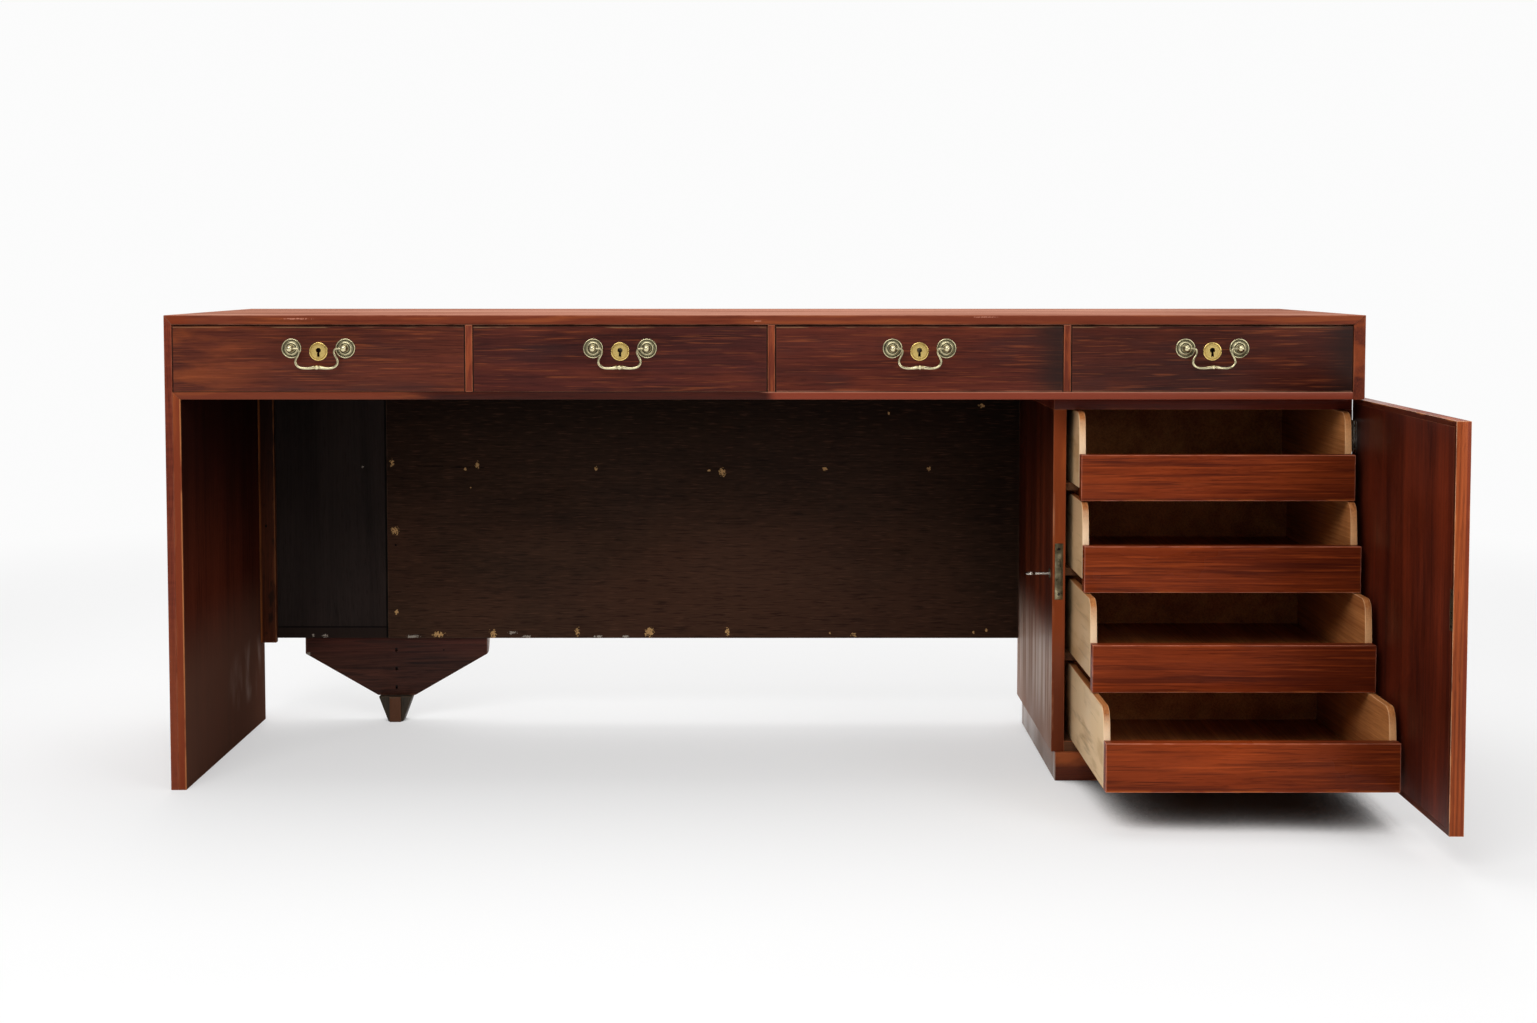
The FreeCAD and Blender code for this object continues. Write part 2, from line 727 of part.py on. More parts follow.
def frame_hinge(name):
    """The leaf on the pedestal, its two outer knuckles and the pin."""
    low = hinge_low(name)
    outer = "(hinge_height - hinge_middle_knuckle)/2"
    leaf = box(
        f"{name}_frame_leaf", "case_right - hinge_frame_leaf_width", "pedestal_front", low,
        "hinge_frame_leaf_width + hinge_pin_outset", "hinge_leaf_thickness", "hinge_height")
    low_knuckle = rod(f"{name}_low_knuckle", "pin_x", "pin_y", low, "hinge_knuckle_radius", outer)
    high_knuckle = rod(
        f"{name}_high_knuckle", "pin_x", "pin_y", f"{low} + {outer} + hinge_middle_knuckle",
        "hinge_knuckle_radius", outer)
    middle_gap = rod(
        f"{name}_frame_gap", "pin_x", "pin_y", f"{low} + {outer}",
        "hinge_knuckle_radius + hinge_recess_gap", "hinge_middle_knuckle")
    bore = rod(f"{name}_frame_bore", "pin_x", "pin_y", low, "hinge_pin_radius", "hinge_height")
    solid = fuse(f"{name}_frame_blank", [leaf, low_knuckle, high_knuckle])
    pin = rod(f"{name}_hinge_pin", "pin_x", "pin_y", low, "hinge_pin_radius", "hinge_height")
    return [cut(f"{name}_frame_hinge", solid, middle_gap, bore), pin]


def door_hinge(name):
    """The leaf on the door and its middle knuckle, from the pin."""
    low = hinge_low(name)
    middle = f"{name}_hinge_middle - hinge_middle_knuckle/2"
    leaf = box(
        f"{name}_door_leaf", "-hinge_door_leaf_width", "door_inner - hinge_leaf_thickness", low,
        "hinge_door_leaf_width", "hinge_leaf_thickness", "hinge_height", from_pin=True)
    knuckle = rod(
        f"{name}_middle_knuckle", "0", "0", f"{middle} + hinge_knuckle_gap", "hinge_knuckle_radius",
        "hinge_middle_knuckle - 2*hinge_knuckle_gap", from_pin=True)
    bore = rod(
        f"{name}_door_bore", "0", "0", low,
        "hinge_pin_radius + hinge_pin_gap", "hinge_height", from_pin=True)
    outer = "(hinge_height - hinge_middle_knuckle)/2 + hinge_knuckle_gap"
    clears = []
    for end, start in (("low", low), ("high", f"{middle} + hinge_middle_knuckle - hinge_knuckle_gap")):
        clears.append(rod(
            f"{name}_door_clear_{end}", "0", "0", start,
            "hinge_knuckle_radius + hinge_recess_gap", outer, from_pin=True))
    solid = fuse(f"{name}_door_blank", [leaf, knuckle])
    return cut(f"{name}_door_hinge", solid, bore, *clears)


def door():
    """The door shut, from its pin; each piece is then turned with it."""
    seats = []
    for name in ("upper", "lower"):
        low = hinge_low(name)
        seats.append(box(
            f"{name}_door_seat", "-hinge_door_leaf_width", "door_inner - hinge_leaf_thickness", low,
            "hinge_door_leaf_width", "hinge_leaf_thickness + overrun", "hinge_height", from_pin=True))
        seats.append(rod(
            f"{name}_door_knuckle_seat", "0", "0", low,
            "hinge_knuckle_radius + hinge_recess_gap", "hinge_height", from_pin=True))
    strike_x = "door_free + pedestal_left_thickness/2 - door_free_inset"
    strike_low = "strike_middle - strike_height/2"
    seats.append(box(
        "strike_seat", f"{strike_x} - strike_width/2", "door_inner - strike_thickness", strike_low,
        "strike_width", "strike_thickness + overrun", "strike_height", from_pin=True))
    bolt_hole = box(
        "strike_bolt_hole", f"{strike_x} - side_bolt_width/2 - bolt_gap",
        "door_inner - side_bolt_travel - bolt_spare", "side_bolt_middle - side_bolt_height/2 - bolt_gap",
        "side_bolt_width + 2*bolt_gap", "side_bolt_travel + bolt_spare + overrun",
        "side_bolt_height + 2*bolt_gap", from_pin=True)
    seats.append(bolt_hole)

    core = box(
        "door_core", "door_free + lipping_width", "door_outer", "door_bottom + lipping_width",
        "door_width - 2*lipping_width", "door_thickness", "door_height - 2*lipping_width", from_pin=True)
    hollow = fuse("door_hollow", seats)
    panel = cut("door_panel", core, hollow)

    slab = box(
        "door_slab", "door_free", "door_outer", "door_bottom",
        "door_width", "door_thickness", "door_height", from_pin=True)
    frame = cut("door_lipping_blank", slab, core)
    lipping = cut("door_lipping", frame, hollow)

    plate = box(
        "strike_blank", f"{strike_x} - strike_width/2", "door_inner - strike_thickness", strike_low,
        "strike_width", "strike_thickness", "strike_height", from_pin=True)
    strike = cut("strike_plate", plate, bolt_hole)

    node("door_panel", panel)
    node("door_lipping", lipping)
    node("strike_plate", strike)
    node("door_hinge_leaves", door_hinge("upper"), door_hinge("lower"))
    for label in ("door_panel", "door_lipping", "strike_plate", "door_hinge_leaves"):
        hang_on_door(NODES[label])
    node("frame_hinge_leaves", *frame_hinge("upper"), *frame_hinge("lower"))


# The drawers


def drawer_base(number):
    """The thin bottom, let into grooves all round."""
    side = "drawer_side_gap + drawer_side_thickness - groove_depth"
    return box(
        f"drawer_{number}_base", f"bay_left_{number} + {side}", "drawer_front_back - groove_depth",
        "drawer_bottom + drawer_base_height",
        f"bay_right_{number} - bay_left_{number} - 2*({side})",
        "drawer_rear - drawer_front_back + groove_depth", "drawer_base_thickness")


def drawer_front(number, base):
    middle = bay_middle(number)
    blank = box(
        f"drawer_{number}_blank", f"bay_left_{number} + drawer_side_gap", "drawer_front_setback",
        "drawer_bottom",
        f"bay_right_{number} - bay_left_{number} - 2*drawer_side_gap",
        "drawer_front_thickness", "drawer_front_top - drawer_bottom")
    lock_seat = box(
        f"lock_{number}_mortise", f"{middle} - lock_width/2", "lock_front", "bolt_top - lock_height",
        "lock_width", "lock_depth + overrun", "lock_height")
    bolt_way = box(
        f"lock_{number}_bolt_way", f"{middle} - bolt_width/2 - bolt_gap", "bolt_front - bolt_gap",
        "bolt_top - bolt_height", "bolt_width + 2*bolt_gap", "bolt_thickness + 2*bolt_gap",
        "bolt_height + bolt_below_edge + overrun")
    hole = rod(
        f"drawer_{number}_keyhole", middle, "0", "keyhole_z", "keyhole_radius",
        "drawer_front_back", ALONG_Y)
    slot = box(
        f"drawer_{number}_key_slot", f"{middle} - key_slot_width/2", "0", "keyhole_z - key_slot_drop",
        "key_slot_width", "drawer_front_back", "key_slot_drop")
    holes = [lock_seat, bolt_way, hole, slot, base]
    for side, sign in (("left", "-"), ("right", "+")):
        holes.append(rod(
            f"drawer_{number}_{side}_post_hole", f"{middle} {sign} post_spacing/2", "0", "handle_z",
            "shank_radius", "drawer_front_back + overrun", ALONG_Y))
    node(f"drawer_{number}_front", cut(f"drawer_{number}_front", blank, *holes))


def drawer_box(number, base):
    length = "drawer_rear - drawer_front_back"
    sides = []
    for side, x in (("left", f"bay_left_{number} + drawer_side_gap"),
                    ("right", f"bay_right_{number} - drawer_side_gap - drawer_side_thickness")):
        board = box(
            f"drawer_{number}_{side}_board", x, "drawer_front_back", "drawer_bottom",
            "drawer_side_thickness", length, "drawer_side_height")
        sides.append(cut(f"drawer_{number}_{side}", board, base))
    inside = "drawer_side_gap + drawer_side_thickness"
    back = box(
        f"drawer_{number}_back", f"bay_left_{number} + {inside}", "drawer_rear - drawer_side_thickness",
        "drawer_bottom + drawer_base_height + drawer_base_thickness",
        f"bay_right_{number} - bay_left_{number} - 2*({inside})",
        "drawer_side_thickness", "drawer_back_height")
    node(f"drawer_{number}_box", *sides, back, base)


def bail_shape():
    """The swan-neck wire seen from the front, from the middle between its pivots."""
    end = mm("post_spacing")/2
    shoulder = mm("bail_shoulder_half")
    hip = mm("bail_hip_half")
    low = -mm("bail_drop")
    corners = [(-shoulder, 0, mm("bail_shoulder_bend")), (-hip, low, mm("bail_hip_bend")),
               (hip, low, mm("bail_hip_bend")), (shoulder, 0, mm("bail_shoulder_bend"))]
    points = [FreeCAD.Vector(-end, 0, 0)]
    points += [FreeCAD.Vector(x, 0, z) for x, z, bend in corners]
    points.append(FreeCAD.Vector(end, 0, 0))
    edges = []
    start = points[0]
    for index, (x, z, bend) in enumerate(corners, start=1):
        corner = points[index]
        inwards = (points[index - 1] - corner).normalize()
        onwards = (points[index + 1] - corner).normalize()
        half_angle = inwards.getAngle(onwards)/2
        reach = bend/math.tan(half_angle)
        bisector = (inwards + onwards).normalize()
        centre = corner + bisector*(bend/math.sin(half_angle))
        first = corner + inwards*reach
        last = corner + onwards*reach
        edges.append(Part.makeLine(start, first))
        edges.append(Part.Arc(first, centre - bisector*bend, last).toShape())
        start = last
    edges.append(Part.makeLine(start, points[-1]))
    spine = Part.Wire(edges)
    ring = Part.Wire(Part.makeCircle(mm("bail_wire_radius"), points[0], FreeCAD.Vector(1, 0, 0)))
    wire = spine.makePipeShell([ring], True, True)
    along = FreeCAD.Vector(1, 0, 0)
    middle = FreeCAD.Vector(0, 0, low)
    swell = mm("bail_swell_half")
    pieces = []
    for sign in (-1, 1):
        pieces.append(Part.makeCone(
            mm("bail_swell_radius"), mm("bail_wire_radius"), swell, middle, along*sign))
    for offset in (-mm("bead_offset"), 0, mm("bead_offset")):
        bead = middle + along*(offset - mm("bead_width")/2)
        pieces.append(Part.makeCylinder(mm("bead_radius"), mm("bead_width"), bead, along))
    return wire.multiFuse(pieces).removeSplitter()


def handle(number):
    middle = bay_middle(number)
    face = "drawer_front_setback"
    plates = []
    for side, sign in (("left", "-"), ("right", "+")):
        x = f"{middle} {sign} post_spacing/2"
        part = f"handle_{number}_{side}"
        rim_end = f"{face} - rosette_rim_thickness"
        step_end = f"{rim_end} - rosette_step_thickness"
        solid = fuse(f"{part}_solid", [
            cone(f"{part}_rim", x, face, "handle_z",
                 "rosette_radius", "rosette_step_radius", "rosette_rim_thickness", TOWARDS_FRONT),
            cone(f"{part}_step", x, rim_end, "handle_z",
                 "rosette_step_radius", "rosette_boss_radius", "rosette_step_thickness", TOWARDS_FRONT),
            cone(f"{part}_boss", x, step_end, "handle_z",
                 "rosette_boss_radius", "post_radius", "rosette_boss_thickness", TOWARDS_FRONT),
            rod(f"{part}_post", x, face, "handle_z", "post_radius", "bail_reach", TOWARDS_FRONT),
            ball(f"{part}_head", x, "bail_y", "handle_z", "post_head_radius"),
            rod(f"{part}_shank", x, face, "handle_z",
                "shank_radius", "drawer_front_thickness + nut_thickness", ALONG_Y),
        ])
        hole = rod(
            f"{part}_pivot_hole", f"{x} - post_spacing/2", "bail_y", "handle_z",
            "bail_wire_radius + bail_hole_gap", "post_spacing", ALONG_X)
        start = f"{x} - slide_gap" if side == "left" else f"{x} - post_head_radius - overrun"
        reach = box(
            f"{part}_hole_reach", start, "bail_y - post_head_radius", "handle_z - post_head_radius",
            "post_head_radius + overrun + slide_gap", "2*post_head_radius", "2*post_head_radius")
        plates.append(cut(f"{part}_rosette", solid, common(f"{part}_bore", hole, reach)))
        nut = rod(
            f"{part}_nut_blank", x, "drawer_front_back", "handle_z",
            "nut_radius", "nut_thickness", ALONG_Y)
        shank_hole = rod(
            f"{part}_nut_hole", x, "drawer_front_back", "handle_z",
            "shank_radius", "nut_thickness", ALONG_Y)
        plates.append(cut(f"{part}_nut", nut, shank_hole))
    node(f"handle_{number}_plates", *plates)
    node(f"handle_{number}_bail", made(
        f"handle_{number}_bail", bail_shape(), middle, "bail_y", "handle_z"))


def drawer_lock(number):
    middle = bay_middle(number)
    case = box(
        f"lock_{number}_case", f"{middle} - lock_width/2", "lock_front", "bolt_top - lock_height",
        "lock_width", "lock_depth", "lock_height")
    bolt_way = box(
        f"lock_{number}_channel", f"{middle} - bolt_width/2 - bolt_gap", "bolt_front - bolt_gap",
        "bolt_top - bolt_height - bolt_gap",
        "bolt_width + 2*bolt_gap", "bolt_thickness + 2*bolt_gap", "bolt_height + bolt_gap + overrun")
    hole = rod(
        f"lock_{number}_keyhole", middle, "drawer_front_setback - escutcheon_thickness - overrun",
        "keyhole_z", "keyhole_radius", "drawer_front_thickness + escutcheon_thickness", ALONG_Y)
    slot = box(
        f"lock_{number}_key_slot", f"{middle} - key_slot_width/2",
        "drawer_front_setback - escutcheon_thickness - overrun", "keyhole_z - key_slot_drop",
        "key_slot_width", "drawer_front_thickness + escutcheon_thickness", "key_slot_drop")
    disc = rod(
        f"lock_{number}_disc", middle, "drawer_front_setback - escutcheon_thickness", "keyhole_z",
        "escutcheon_radius", "escutcheon_thickness", ALONG_Y)
    node(
        f"lock_{number}",
        cut(f"lock_{number}_body", case, bolt_way, hole, slot),
        cut(f"lock_{number}_escutcheon", disc, hole, slot))
    node(f"lock_{number}_bolt", box(
        f"lock_{number}_bolt", f"{middle} - bolt_width/2", "bolt_front", "bolt_top - bolt_height",
        "bolt_width", "bolt_thickness", "bolt_height"))


def drawer(number):
    base = drawer_base(number)
    drawer_front(number, base)
    drawer_box(number, base)
    handle(number)
    drawer_lock(number)


# The trays


def tray_side_shape(front_top):
    """A side seen from the side, from its lower front corner: it leans back, then rounds over."""
    length = mm("tray_length")
    height = mm("tray_height")
    neck = height - mm("tray_shoulder_height")
    lean = mm("tray_lean")
    depth = mm("tray_shoulder_depth")
    bow_share = 0.4
    round_share = math.sqrt(0.5)
    foot = FreeCAD.Vector(0, 0, front_top)
    kink = FreeCAD.Vector(0, lean, neck)
    crown = FreeCAD.Vector(0, depth, height)
    hollow = FreeCAD.Vector(0, lean*bow_share, (front_top + neck)/2)
    round_over = FreeCAD.Vector(
        0, depth - (depth - lean)*round_share, neck + (height - neck)*round_share)
    origin = FreeCAD.Vector()
    rear_low = FreeCAD.Vector(0, length, 0)
    rear_top = FreeCAD.Vector(0, length, height)
    edges = [
        Part.makeLine(origin, foot),
        Part.Arc(foot, hollow, kink).toShape(),
        Part.Arc(kink, round_over, crown).toShape(),
        Part.makeLine(crown, rear_top),
        Part.makeLine(rear_top, rear_low),
        Part.makeLine(rear_low, origin),
    ]
    return Part.Face(Part.Wire(edges)).extrude(FreeCAD.Vector(mm("tray_side_thickness"), 0, 0))


def tray(number):
    lowest = number == TRAY_COUNT
    low = tray_level(number)
    drop = "0" if lowest else "tray_front_drop"
    front_y = f"(tray_closed_y - tray_{number}_out)"
    back_y = f"{front_y} + tray_front_thickness"
    front_top = mm("tray_front_height")
    if not lowest:
        front_top -= mm("tray_front_drop")
    base_side = "(tray_side_thickness - groove_depth)"
    base = box(
        f"tray_{number}_base", f"tray_left + {base_side}", f"{back_y} - groove_depth",
        f"{low} + tray_base_height",
        f"tray_right - tray_left - 2*{base_side}", "tray_length + groove_depth", "tray_base_thickness")
    blank = box(
        f"tray_{number}_blank", "tray_left", front_y, f"{low} - {drop}",
        "tray_right - tray_left", "tray_front_thickness", "tray_front_height")
    node(f"tray_{number}_front", cut(f"tray_{number}_front", blank, base))
    sides = []
    for side, x in (("left", "tray_left"), ("right", "tray_right - tray_side_thickness")):
        board = made(f"tray_{number}_{side}_board", tray_side_shape(front_top), x, back_y, low)
        sides.append(cut(f"tray_{number}_{side}", board, base))
    back = box(
        f"tray_{number}_back", "tray_left + tray_side_thickness",
        f"{back_y} + tray_length - tray_back_thickness", f"{low} + tray_back_bottom",
        "tray_right - tray_left - 2*tray_side_thickness", "tray_back_thickness",
        "tray_height - tray_back_bottom - tray_back_drop")
    node(f"tray_{number}_box", *sides, back, base)


def check(things):
    """Stop unless every object computed and every sub-part is a valid shape."""
    for thing in things:
        if "Invalid" in thing.State or "Error" in thing.State:
            raise RuntimeError(f"{thing.Name} did not compute: {thing.State}")
    for label, thing in NODES.items():
        if thing.Shape.isNull() or not thing.Shape.isValid():
            raise RuntimeError(f"{label} has no valid shape")


top_panel()
case_sides()
case_boards()
kneehole_rear()
rear_bracket()
pedestal_sides()
pedestal_boards()
tray_runners()
pedestal_lock()
pedestal_key()
door()
for number in range(1, DRAWER_COUNT + 1):
    drawer(number)
for number in range(1, TRAY_COUNT + 1):
    tray(number)

doc.recompute()
check(doc.Objects)

os.makedirs("parts", exist_ok=True)
for label, thing in NODES.items():
    thing.Shape.exportStep(f"parts/{label}.step")
print(f"{len(NODES)} sub-parts written")
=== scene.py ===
"""Looks for the kneehole desk: woods, brass, locks, screws, floor, light and camera."""
import json
import math

import bmesh
import bpy
from mathutils import Matrix, Vector

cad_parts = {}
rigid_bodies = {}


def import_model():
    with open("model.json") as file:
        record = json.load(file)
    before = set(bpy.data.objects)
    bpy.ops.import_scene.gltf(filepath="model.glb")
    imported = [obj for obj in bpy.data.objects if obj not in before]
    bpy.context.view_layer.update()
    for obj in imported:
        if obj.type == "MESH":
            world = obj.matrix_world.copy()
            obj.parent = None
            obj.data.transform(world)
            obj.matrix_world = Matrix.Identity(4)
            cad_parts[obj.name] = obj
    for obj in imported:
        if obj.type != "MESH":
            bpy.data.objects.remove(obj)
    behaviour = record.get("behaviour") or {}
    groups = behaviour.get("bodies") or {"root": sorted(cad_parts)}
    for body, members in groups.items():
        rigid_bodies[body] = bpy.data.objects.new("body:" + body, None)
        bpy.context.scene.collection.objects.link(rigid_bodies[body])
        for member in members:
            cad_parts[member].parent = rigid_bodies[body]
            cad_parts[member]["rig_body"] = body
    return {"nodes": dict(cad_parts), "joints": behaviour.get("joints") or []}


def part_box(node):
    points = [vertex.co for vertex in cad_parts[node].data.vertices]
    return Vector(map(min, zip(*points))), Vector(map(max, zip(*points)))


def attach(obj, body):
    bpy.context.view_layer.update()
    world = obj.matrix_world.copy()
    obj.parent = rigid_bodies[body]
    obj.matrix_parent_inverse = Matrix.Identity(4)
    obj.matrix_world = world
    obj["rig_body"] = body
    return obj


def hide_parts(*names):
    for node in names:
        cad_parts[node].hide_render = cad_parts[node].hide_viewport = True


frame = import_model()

NODES = frame["nodes"]
JOINTS = {joint["name"]: joint for joint in frame["joints"]}
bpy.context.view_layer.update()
MM = 0.001
DRAWERS = range(1, 5)
TRAYS = range(1, 5)

# Where the desk's working parts are, from the joints and the boards that carry them
DOOR_PIN = Vector(JOINTS["door_hinge"]["pos_m"])
DOOR_ANGLE = math.radians(89.2)
DRAWER_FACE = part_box("drawer_1_front")[0].y
KEYHOLE_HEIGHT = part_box("top_panel")[0].z - 39 * MM


def tone(colour):
    """A colour's red, green and blue as read off a screen, 0 to 255, in the shader's numbers."""
    parts = []
    for value in colour:
        share = value / 255
        parts.append(share / 12.92 if share <= 0.04045 else ((share + 0.055) / 1.055) ** 2.4)
    return (*parts, 1.0)


# Laying out shader nodes


class Bench:
    """Lays out the nodes of one tree."""

    def __init__(self, tree):
        self.tree = tree

    def add(self, kind, **settings):
        node = self.tree.nodes.new(kind)
        for name, value in settings.items():
            setattr(node, name, value)
        return node

    def put(self, socket, value):
        if isinstance(value, bpy.types.NodeSocket):
            self.tree.links.new(value, socket)
        else:
            socket.default_value = value

    def make(self, kind, values, gives=0, **settings):
        """Adds a node, fills its inputs by name or number, and hands back one output."""
        node = self.add(kind, **settings)
        for name, value in values.items():
            self.put(node.inputs[name], value)
        return node.outputs[gives]

    def calc(self, operation, *values, clamp=False):
        return self.make(
            "ShaderNodeMath", dict(enumerate(values)), operation=operation, use_clamp=clamp)

    def vector(self, operation, *values):
        return self.make(
            "ShaderNodeVectorMath", dict(enumerate(values)),
            "Value" if operation == "LENGTH" else "Vector", operation=operation)

    def split(self, place):
        """The three numbers of a vector."""
        node = self.add("ShaderNodeSeparateXYZ")
        self.put(node.inputs[0], place)
        return node.outputs[:]

    def join(self, x=0.0, y=0.0, z=0.0):
        return self.make("ShaderNodeCombineXYZ", {0: x, 1: y, 2: z})

    def noise(self, place, scales, detail=2.0, bend=0.0):
        """Soft noise whose grain is as many to the metre as the three scales say."""
        return self.make("ShaderNodeTexNoise", {
            "Vector": self.vector("MULTIPLY", place, scales), "Scale": 1.0, "Detail": detail,
            "Distortion": bend})

    def spread(self, value, low, high, start=0.0, end=1.0):
        """Eases from start to end while the value goes from low to high."""
        return self.make("ShaderNodeMapRange", {
            "Value": value, "From Min": low, "From Max": high, "To Min": start,
            "To Max": end}, interpolation_type="SMOOTHSTEP")

    def tint(self, share, first, second, how="MIX"):
        return self.make("ShaderNodeMix", {0: share, 6: first, 7: second}, 2,
                         data_type="RGBA", blend_type=how)

    def turned(self, place, turn=(0, 0, 0), shift=(0, 0, 0)):
        return self.make(
            "ShaderNodeMapping", {"Vector": place, "Rotation": turn, "Location": shift})

    def object_place(self):
        return self.add("ShaderNodeTexCoord").outputs["Object"]

    def effect(self, group, **values):
        node = self.add("ShaderNodeGroup", node_tree=group)
        for name, value in values.items():
            self.put(node.inputs[name], value)
        return node.outputs


VECTOR, COLOUR, NUMBER = "NodeSocketVector", "NodeSocketColor", "NodeSocketFloat"
GEOMETRY, MATERIAL, WHOLE = "NodeSocketGeometry", "NodeSocketMaterial", "NodeSocketInt"
BLACK = (0.0, 0.0, 0.0, 1.0)
NOWHERE = (0.0, 0.0, 0.0)


def new_tree(name, takes, gives, kind_of_tree="ShaderNodeTree"):
    """A node group with named inputs and outputs, and its bench."""
    tree = bpy.data.node_groups.new(name, kind_of_tree)
    for label, kind, value in takes:
        socket = tree.interface.new_socket(label, in_out="INPUT", socket_type=kind)
        if value is not None:
            socket.default_value = value
    for label, kind in gives:
        tree.interface.new_socket(label, in_out="OUTPUT", socket_type=kind)
    bench = Bench(tree)
    return tree, bench, bench.add("NodeGroupInput").outputs, bench.add("NodeGroupOutput").inputs


def make_wood_figure():
    """Mahogany with the grain along X: ribbons, streaks, clouds, ripples across and pores."""
    tree, bench, take, give = new_tree(
        "wood_figure",
        [("Place", VECTOR, NOWHERE), ("Dark", COLOUR, BLACK), ("Light", COLOUR, BLACK),
         ("Ribbon", NUMBER, 1.0), ("Streaks", NUMBER, 1.0), ("Clouds", NUMBER, 1.0),
         ("Ripple", NUMBER, 0.0), ("Pores", NUMBER, 0.5)],
        [("Colour", COLOUR), ("Height", NUMBER), ("Tone", NUMBER)])
    place = take["Place"]
    sway = bench.calc("SUBTRACT", bench.noise(place, (1.1, 6, 6), 1), 0.5)
    sway = bench.calc("MULTIPLY", sway, 0.05)
    run = bench.vector("ADD", place, bench.join(y=sway, z=sway))
    ribbon = bench.noise(run, (0.8, 24, 24), 2, 0.4)
    streaks = bench.noise(run, (5, 330, 330), 3)
    clouds = bench.noise(place, (2.4, 7, 7), 2)
    ripple = bench.noise(place, (130, 11, 11), 1)
    pores = bench.spread(bench.noise(run, (42, 1100, 1100), 0), 0.6, 0.72)
    tone_sum = 0.5
    for part, strength, reach in ((ribbon, "Ribbon", 2.2), (streaks, "Streaks", 1.8),
                                  (clouds, "Clouds", 2.4), (ripple, "Ripple", 1.6)):
        swing = bench.calc("MULTIPLY", bench.calc("SUBTRACT", part, 0.5), reach)
        tone_sum = bench.calc("ADD", tone_sum, bench.calc("MULTIPLY", swing, take[strength]))
    tone_sum = bench.calc("ADD", tone_sum, 0.0, clamp=True)
    colour = bench.tint(tone_sum, take["Dark"], take["Light"])
    dark_pores = bench.calc("MULTIPLY", pores, take["Pores"])
    deep = bench.tint(1.0, colour, (0.35, 0.3, 0.3, 1.0), "MULTIPLY")
    bench.put(give["Colour"], bench.tint(dark_pores, colour, deep))
    bench.put(give["Height"], bench.calc(
        "SUBTRACT", bench.calc("MULTIPLY", streaks, 0.5), bench.calc("MULTIPLY", dark_pores, 0.8)))
    bench.put(give["Tone"], tone_sum)
    return tree


def make_rubbed_edges():
    """Where hands and cloths have rubbed a board's edges: 1 at the edges of its box."""
    tree, bench, take, give = new_tree(
        "rubbed_edges",
        [("Place", VECTOR, NOWHERE), ("Low", VECTOR, NOWHERE), ("High", VECTOR, NOWHERE),
         ("Reach", NUMBER, 0.004), ("Patches", NUMBER, 22.0)],
        [("Mask", NUMBER)])
    place = take["Place"]
    near = bench.vector(
        "MINIMUM", bench.vector("SUBTRACT", place, take["Low"]),
        bench.vector("SUBTRACT", take["High"], place))
    x, y, z = bench.split(near)
    largest = bench.calc("MAXIMUM", x, bench.calc("MAXIMUM", y, z))
    total = bench.calc("ADD", x, bench.calc("ADD", y, z))
    from_edge = bench.calc("ABSOLUTE", bench.calc("SUBTRACT", total, largest))
    breaks = bench.noise(place, bench.join(*[take["Patches"]] * 3), 4)
    reach = bench.calc("MULTIPLY", take["Reach"], bench.spread(breaks, 0.38, 0.68, 0.05, 1.6))
    share = bench.calc("DIVIDE", from_edge, bench.calc("ADD", reach, 0.0002))
    bench.put(give["Mask"], bench.spread(share, 0.0, 1.0, 1.0, 0.0))
    return tree


def make_blotches():
    """Uneven patches for stain, dust, smears and wear."""
    tree, bench, take, give = new_tree(
        "blotches",
        [("Place", VECTOR, NOWHERE), ("Scales", VECTOR, (8.0, 8.0, 8.0)),
         ("Low", NUMBER, 0.45), ("High", NUMBER, 0.65)],
        [("Mask", NUMBER)])
    patches = bench.noise(take["Place"], take["Scales"], 4)
    bench.put(give["Mask"], bench.spread(patches, take["Low"], take["High"]))
    return tree


def make_old_metal():
    """Handled metal: bright where it is rubbed, dull and spotted in its hollows."""
    tree, bench, take, give = new_tree(
        "old_metal",
        [("Place", VECTOR, NOWHERE), ("Bright", COLOUR, BLACK), ("Dull", COLOUR, BLACK),
         ("Spot", COLOUR, BLACK), ("Rubbed", NUMBER, 0.5), ("Patches", NUMBER, 1.0),
         ("Grain", NUMBER, 260.0)],
        [("Colour", COLOUR), ("Roughness", NUMBER), ("Height", NUMBER)])
    grain = bench.noise(take["Place"], bench.join(*[take["Grain"]] * 3), 4)
    wide = bench.noise(take["Place"], (90, 90, 90), 2)
    rubbed = bench.calc("ADD", take["Rubbed"], bench.calc(
        "MULTIPLY", bench.calc("SUBTRACT", wide, 0.5), take["Patches"]))
    rubbed = bench.spread(rubbed, 0.15, 0.8)
    spots = bench.calc("MULTIPLY", bench.spread(grain, 0.56, 0.7),
                       bench.calc("SUBTRACT", 1.1, rubbed))
    colour = bench.tint(rubbed, take["Dull"], take["Bright"])
    bench.put(give["Colour"], bench.tint(bench.calc("MULTIPLY", spots, 0.8), colour, take["Spot"]))
    rough = bench.spread(rubbed, 0.0, 1.0, 0.5, 0.24)
    bench.put(give["Roughness"], bench.calc(
        "ADD", rough, bench.calc("MULTIPLY", spots, 0.25), clamp=True))
    bench.put(give["Height"], grain)
    return tree


WOOD_FIGURE = make_wood_figure()
RUBBED_EDGES = make_rubbed_edges()
BLOTCHES = make_blotches()
OLD_METAL = make_old_metal()

# Finishes

GRAIN_TURN = {
    "X": (0, 0, 0),
    "Y": (0, 0, -math.pi / 2),
    "Z": (0, math.pi / 2, 0),
}
WOOD_RELIEF, METAL_RELIEF = 0.6 * MM, 0.2 * MM
SEED_STEP = (0.37, 1.3, 0.71)


